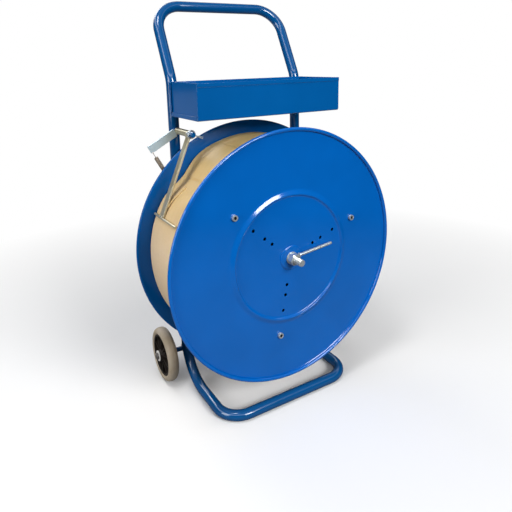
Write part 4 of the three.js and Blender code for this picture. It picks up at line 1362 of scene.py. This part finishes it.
class REELDISPENSER_OT_wheels(bpy.types.Operator):
    """Builds the tyres, ribbed rims, bushes, washers and caps, and the axle with its brackets"""

    bl_idname = "reel_dispenser.wheels"
    bl_label = "Wheels and axle"

    SEAT_R = 0.0523
    SIDEWALL_R = 0.0585
    BAND_INNER_R, BAND_OUTER_R, BAND_HALF = 0.0478, 0.052, 0.0115
    HUB_BORE, HUB_NECK_R, HUB_R, HUB_SHOULDER = 0.0088, 0.0128, 0.0152, 0.0055
    WEB_HALF = 1.6 * MM
    RIBS, RIB_HALF = 10, 1.1 * MM

    def execute(self, context):
        for side, sign in (("left", -1), ("right", 1)):
            centre = middle(f"tyre_{side}")
            self.build_tyre(side, centre)
            self.build_rim(side, centre)
            refinish(f"wheel_bush_{side}", "nylon", 0.0004)
            self.build_retainers(side, sign, centre)
            refinish(f"axle_bracket_{side}", "tube_shade_painted", 0.0008)
        self.build_axle()
        return {"FINISHED"}

    def build_tyre(self, side, centre):
        half = (high(f"tyre_{side}").x - low(f"tyre_{side}").x) / 2
        seat, wall = self.SEAT_R, self.SIDEWALL_R
        outline = [(seat, -half + 0.003), (seat + 0.0025, -half + 0.0004), (wall, -half),
                   (WHEEL_R - 0.0035, -half + 0.0022), (WHEEL_R, -half + 0.0085), (WHEEL_R, half - 0.0085),
                   (WHEEL_R - 0.0035, half - 0.0022), (wall, half), (seat + 0.0025, half - 0.0004),
                   (seat, half - 0.003)]
        tyre = revolve(f"{side}_tyre", fillet(outline, 0.006, 5), centre, "X", 128, 50)
        finish_piece(tyre, "tyre", f"wheel_{side}", f"tyre_{side}")

    def build_rim(self, side, centre):
        """A band and a hub joined by a thin web with tapered ribs on both faces."""
        hub_half = (high(f"wheel_rim_{side}").x - low(f"wheel_rim_{side}").x) / 2
        half, inner, outer = self.BAND_HALF, self.BAND_INNER_R, self.BAND_OUTER_R
        bore, neck, hub_r, shoulder = self.HUB_BORE, self.HUB_NECK_R, self.HUB_R, self.HUB_SHOULDER
        web_half, web_r = self.WEB_HALF, hub_r - 0.0006
        band = fillet([(inner, -half), (outer, -half), (outer, half), (inner, half), (inner - 0.0004, 0.0035),
                       (inner - 0.0004, -0.0035)], 0.0009, 3)
        hub = fillet([(bore, -hub_half), (neck, -hub_half), (hub_r, -shoulder), (hub_r, shoulder),
                      (neck, hub_half), (bore, hub_half)], 0.0009, 3)
        web = fillet([(web_r, -web_half), (inner, -web_half), (inner, web_half), (web_r, web_half)], 0.0004, 2)
        pieces = [revolve("part", outline, centre, "X", 96, 35) for outline in (band, hub, web)]
        outline = fillet([(0.0135, -0.0108), (inner, -0.0095), (inner, 0.0095), (0.0135, 0.0108)], 0.001, 3)
        for k in range(self.RIBS):
            turn = Matrix.Translation(centre) @ Matrix.Rotation(math.tau * k / self.RIBS, 4, "X")
            built = bmesh.new()
            faces = [[built.verts.new((x, thick, r)) for r, x in outline]
                     for thick in (-self.RIB_HALF, self.RIB_HALF)]
            for face in faces:
                built.faces.new(face)
            bridge(built, *faces)
            built.transform(turn)
            pieces.append(to_object("rib", built, 35))
        finish_piece(merged(f"{side}_ribbed_rim", pieces, 35), "black_plastic", f"wheel_{side}",
                     f"wheel_rim_{side}")

    def build_retainers(self, side, sign, centre):
        washer = f"axle_washer_{side}"
        lowest, highest = BOXES[washer]
        outer = (highest.z - lowest.z) / 2
        profile = washer_profile(ROD_BORE, outer, lowest.x - centre.x, highest.x - centre.x, 0.0006)
        ring = revolve(f"{side}_axle_ring", profile, centre, "X", 64, 30)
        finish_piece(ring, "nylon", "trolley", washer)
        cap = f"axle_cap_{side}"
        lowest, highest = BOXES[cap]
        near, far = (lowest.x, highest.x) if sign > 0 else (highest.x, lowest.x)
        near, far = near - centre.x, far - centre.x
        depth = far - near
        profile = [(0, far), (0.0052, far - depth * 0.06), (0.0077, far - depth * 0.3),
                   (0.0085, far - depth * 0.55), (0.0085, near), (ROD_BORE, near),
                   (ROD_BORE, near + depth * 0.54), (0, near + depth * 0.54)]
        dome = revolve(f"{side}_axle_end_cap", fillet(profile, 0.0006, 3, closed=False), centre, "X", 56, 40)
        finish_piece(dome, "grey_plastic", "trolley", cap)

    def build_axle(self):
        lowest, highest = BOXES["wheel_axle"]
        centre = middle("wheel_axle")
        radius = 0.006
        profile = [(0, lowest.x), (radius - 0.001, lowest.x), (radius, lowest.x + 0.001),
                   (radius, highest.x - 0.001), (radius - 0.001, highest.x), (0, highest.x)]
        bar = revolve("bar", profile, (0, centre.y, centre.z), "X", 40, 30)
        beads = []
        for side in ("left", "right"):
            for x in (low(f"axle_bracket_{side}").x, high(f"axle_bracket_{side}").x):
                beads.append(weld("bead", ring_route((x, centre.y, centre.z), radius * 1.12, (1, 0, 0), 32),
                                  0.0014, x * 40))
        finish_piece(merged("wheel_axle_bar", [bar, *beads], 45), "blue_paint", "trolley", "wheel_axle",
                     surface="tube_shade_painted")


# ---------------------------------------------------------------- stage

class REELDISPENSER_OT_stage(bpy.types.Operator):
    """Builds the floor, the soft lights and the camera"""

    bl_idname = "reel_dispenser.stage"
    bl_label = "Stage"

    # name, place, size and power of each lamp
    LAMPS = (
        ("front_softbox", (0.6, -3.3, 2.1), (1.6, 1.0), 110),
        ("left_softbox", (-2.6, -0.5, 1.1), (1.4, 1.4), 38),
        ("top_softbox", (-0.9, -0.5, 2.9), (0.7, 0.7), 20),
        ("back_softbox", (-0.5, 2.8, 2.3), (1.6, 1.4), 26),
    )
    LIT_POINT = Vector((0, 0, 0.45))
    MIRRORED_BY_HEIGHT = ((0.3, 0.03), (0.56, 0.1), (0.6, 4.5), (0.67, 4.5), (0.71, 0.25))
    LENS = 34.98
    SHIFT = (-0.0031, -0.17)
    YAW_PITCH_ROLL = (30.9, 12.1, -1.3)
    CAMERA_PLACE = (-0.6036, -0.8706 + FRONT_FACE, 0.7959)

    def execute(self, context):
        self.build_floor()
        self.build_world(context.scene)
        self.build_lights()
        self.build_camera(context.scene)
        return {"FINISHED"}

    def build_floor(self):
        built = bmesh.new()
        bmesh.ops.create_circle(built, cap_ends=True, radius=FLOOR_R, segments=96)
        built.transform(Matrix.Translation((0, 0, -0.0005)))
        floor = to_object("floor", built)
        floor.data.materials.append(finish_of("floor"))

    def build_world(self, scene):
        """White behind the object, a dim even fill, and a bright band over a dark horizon in reflections."""
        world = bpy.data.worlds.new("soft_room")
        world.use_nodes = True
        scene.world = world
        nodes, links = world.node_tree.nodes, world.node_tree.links

        def background(colour, strength):
            made = nodes.new("ShaderNodeBackground")
            made.inputs["Color"].default_value = (*colour, 1.0)
            made.inputs["Strength"].default_value = strength
            return made

        rays = nodes.new("ShaderNodeLightPath")
        height = nodes.new("ShaderNodeSeparateXYZ")
        links.new(nodes.new("ShaderNodeTexCoord").outputs["Generated"], height.inputs["Vector"])
        ramp = nodes.new("ShaderNodeValToRGB")
        for position, value in self.MIRRORED_BY_HEIGHT:
            stop = ramp.color_ramp.elements.new(position)
            stop.color = (value, value, value, 1.0)
        ramp.color_ramp.elements[0].color = (0.006, 0.006, 0.008, 1.0)
        ramp.color_ramp.elements[-1].color = (0.3, 0.31, 0.33, 1.0)
        links.new(height.outputs["Z"], ramp.inputs["Fac"])
        sideways = nodes.new("ShaderNodeMapRange")
        for name, value in (("From Min", -0.1), ("From Max", 0.6), ("To Min", 1.0), ("To Max", 0.2)):
            sideways.inputs[name].default_value = value
        links.new(height.outputs["X"], sideways.inputs["Value"])
        mirrored = background((1, 1, 1), 1.0)
        links.new(ramp.outputs["Color"], mirrored.inputs["Color"])
        links.new(sideways.outputs["Result"], mirrored.inputs["Strength"])
        fill, white = background((0.94, 0.96, 1.0), 0.22), background((1, 1, 1), 1.0)
        lit = mixed(world.node_tree, rays.outputs["Is Glossy Ray"], fill.outputs[0], mirrored.outputs[0])
        seen = mixed(world.node_tree, rays.outputs["Is Camera Ray"], lit, white.outputs[0])
        links.new(seen, nodes["World Output"].inputs["Surface"])

    def build_lights(self):
        for name, at, size, power in self.LAMPS:
            light = bpy.data.lights.new(name, "AREA")
            light.shape = "RECTANGLE"
            light.size, light.size_y = size
            light.energy = power
            lamp = bpy.data.objects.new(name, light)
            lamp.location = at
            lamp.rotation_euler = (self.LIT_POINT - Vector(at)).to_track_quat("-Z", "Y").to_euler()
            bpy.context.scene.collection.objects.link(lamp)

    def build_camera(self, scene):
        """Seen from the front left and a little above, with a 35 mm lens and its frame shifted down."""
        camera = bpy.data.cameras.new("view")
        camera.lens = self.LENS
        camera.sensor_width = 36.0
        camera.shift_x, camera.shift_y = self.SHIFT
        camera.clip_end = 100.0
        seen_from = bpy.data.objects.new("view", camera)
        yaw, pitch, roll = (math.radians(angle) for angle in self.YAW_PITCH_ROLL)
        forward = Vector((math.sin(yaw) * math.cos(pitch), math.cos(yaw) * math.cos(pitch),
                          -math.sin(pitch)))
        level = Vector((math.cos(yaw), -math.sin(yaw), 0))
        above = level.cross(forward)
        right = level * math.cos(roll) + above * math.sin(roll)
        up = above * math.cos(roll) - level * math.sin(roll)
        place = Matrix((right, up, -forward)).transposed().to_4x4()
        place.translation = self.CAMERA_PLACE
        seen_from.matrix_world = place
        scene.collection.objects.link(seen_from)
        scene.camera = seen_from
        scene.view_settings.view_transform = "Standard"


# ---------------------------------------------------------------- panel and registration

class REELDISPENSER_PT_panel(bpy.types.Panel):
    """Lists the dispenser's settings and pieces"""

    bl_idname = "REELDISPENSER_PT_panel"
    bl_label = "Reel Dispenser"
    bl_space_type = "VIEW_3D"
    bl_region_type = "UI"
    bl_category = "Reel Dispenser"

    def draw(self, context):
        layout = self.layout
        for settings in (context.scene.reel_dispenser_sizes, context.scene.reel_dispenser_colours):
            box = layout.box()
            for name in settings.bl_rna.properties.keys():
                if name not in ("rna_type", "name"):
                    box.prop(settings, name)
        for operator in OPERATORS:
            layout.operator(operator.bl_idname)


OPERATORS = (
    REELDISPENSER_OT_stage,
    REELDISPENSER_OT_frame_tubes,
    REELDISPENSER_OT_crossbar,
    REELDISPENSER_OT_tray,
    REELDISPENSER_OT_flanges,
    REELDISPENSER_OT_reel_hub,
    REELDISPENSER_OT_lever_nut,
    REELDISPENSER_OT_coil,
    REELDISPENSER_OT_pressure_arm,
    REELDISPENSER_OT_spring,
    REELDISPENSER_OT_wheels,
)
CLASSES = (ReelDispenserSizes, ReelDispenserColours, *OPERATORS, REELDISPENSER_PT_panel)


def register():
    for each in CLASSES:
        bpy.utils.register_class(each)
    bpy.types.Scene.reel_dispenser_sizes = bpy.props.PointerProperty(type=ReelDispenserSizes)
    bpy.types.Scene.reel_dispenser_colours = bpy.props.PointerProperty(type=ReelDispenserColours)


def unregister():
    del bpy.types.Scene.reel_dispenser_colours
    del bpy.types.Scene.reel_dispenser_sizes
    for each in reversed(CLASSES):
        bpy.utils.unregister_class(each)


def main():
    register()
    bpy.ops.reel_dispenser.stage()
    bpy.ops.reel_dispenser.frame_tubes()
    bpy.ops.reel_dispenser.crossbar()
    bpy.ops.reel_dispenser.tray()
    bpy.ops.reel_dispenser.flanges()
    bpy.ops.reel_dispenser.reel_hub()
    bpy.ops.reel_dispenser.lever_nut()
    bpy.ops.reel_dispenser.coil()
    bpy.ops.reel_dispenser.pressure_arm()
    bpy.ops.reel_dispenser.spring()
    bpy.ops.reel_dispenser.wheels()


if __name__ == "__main__":
    main()
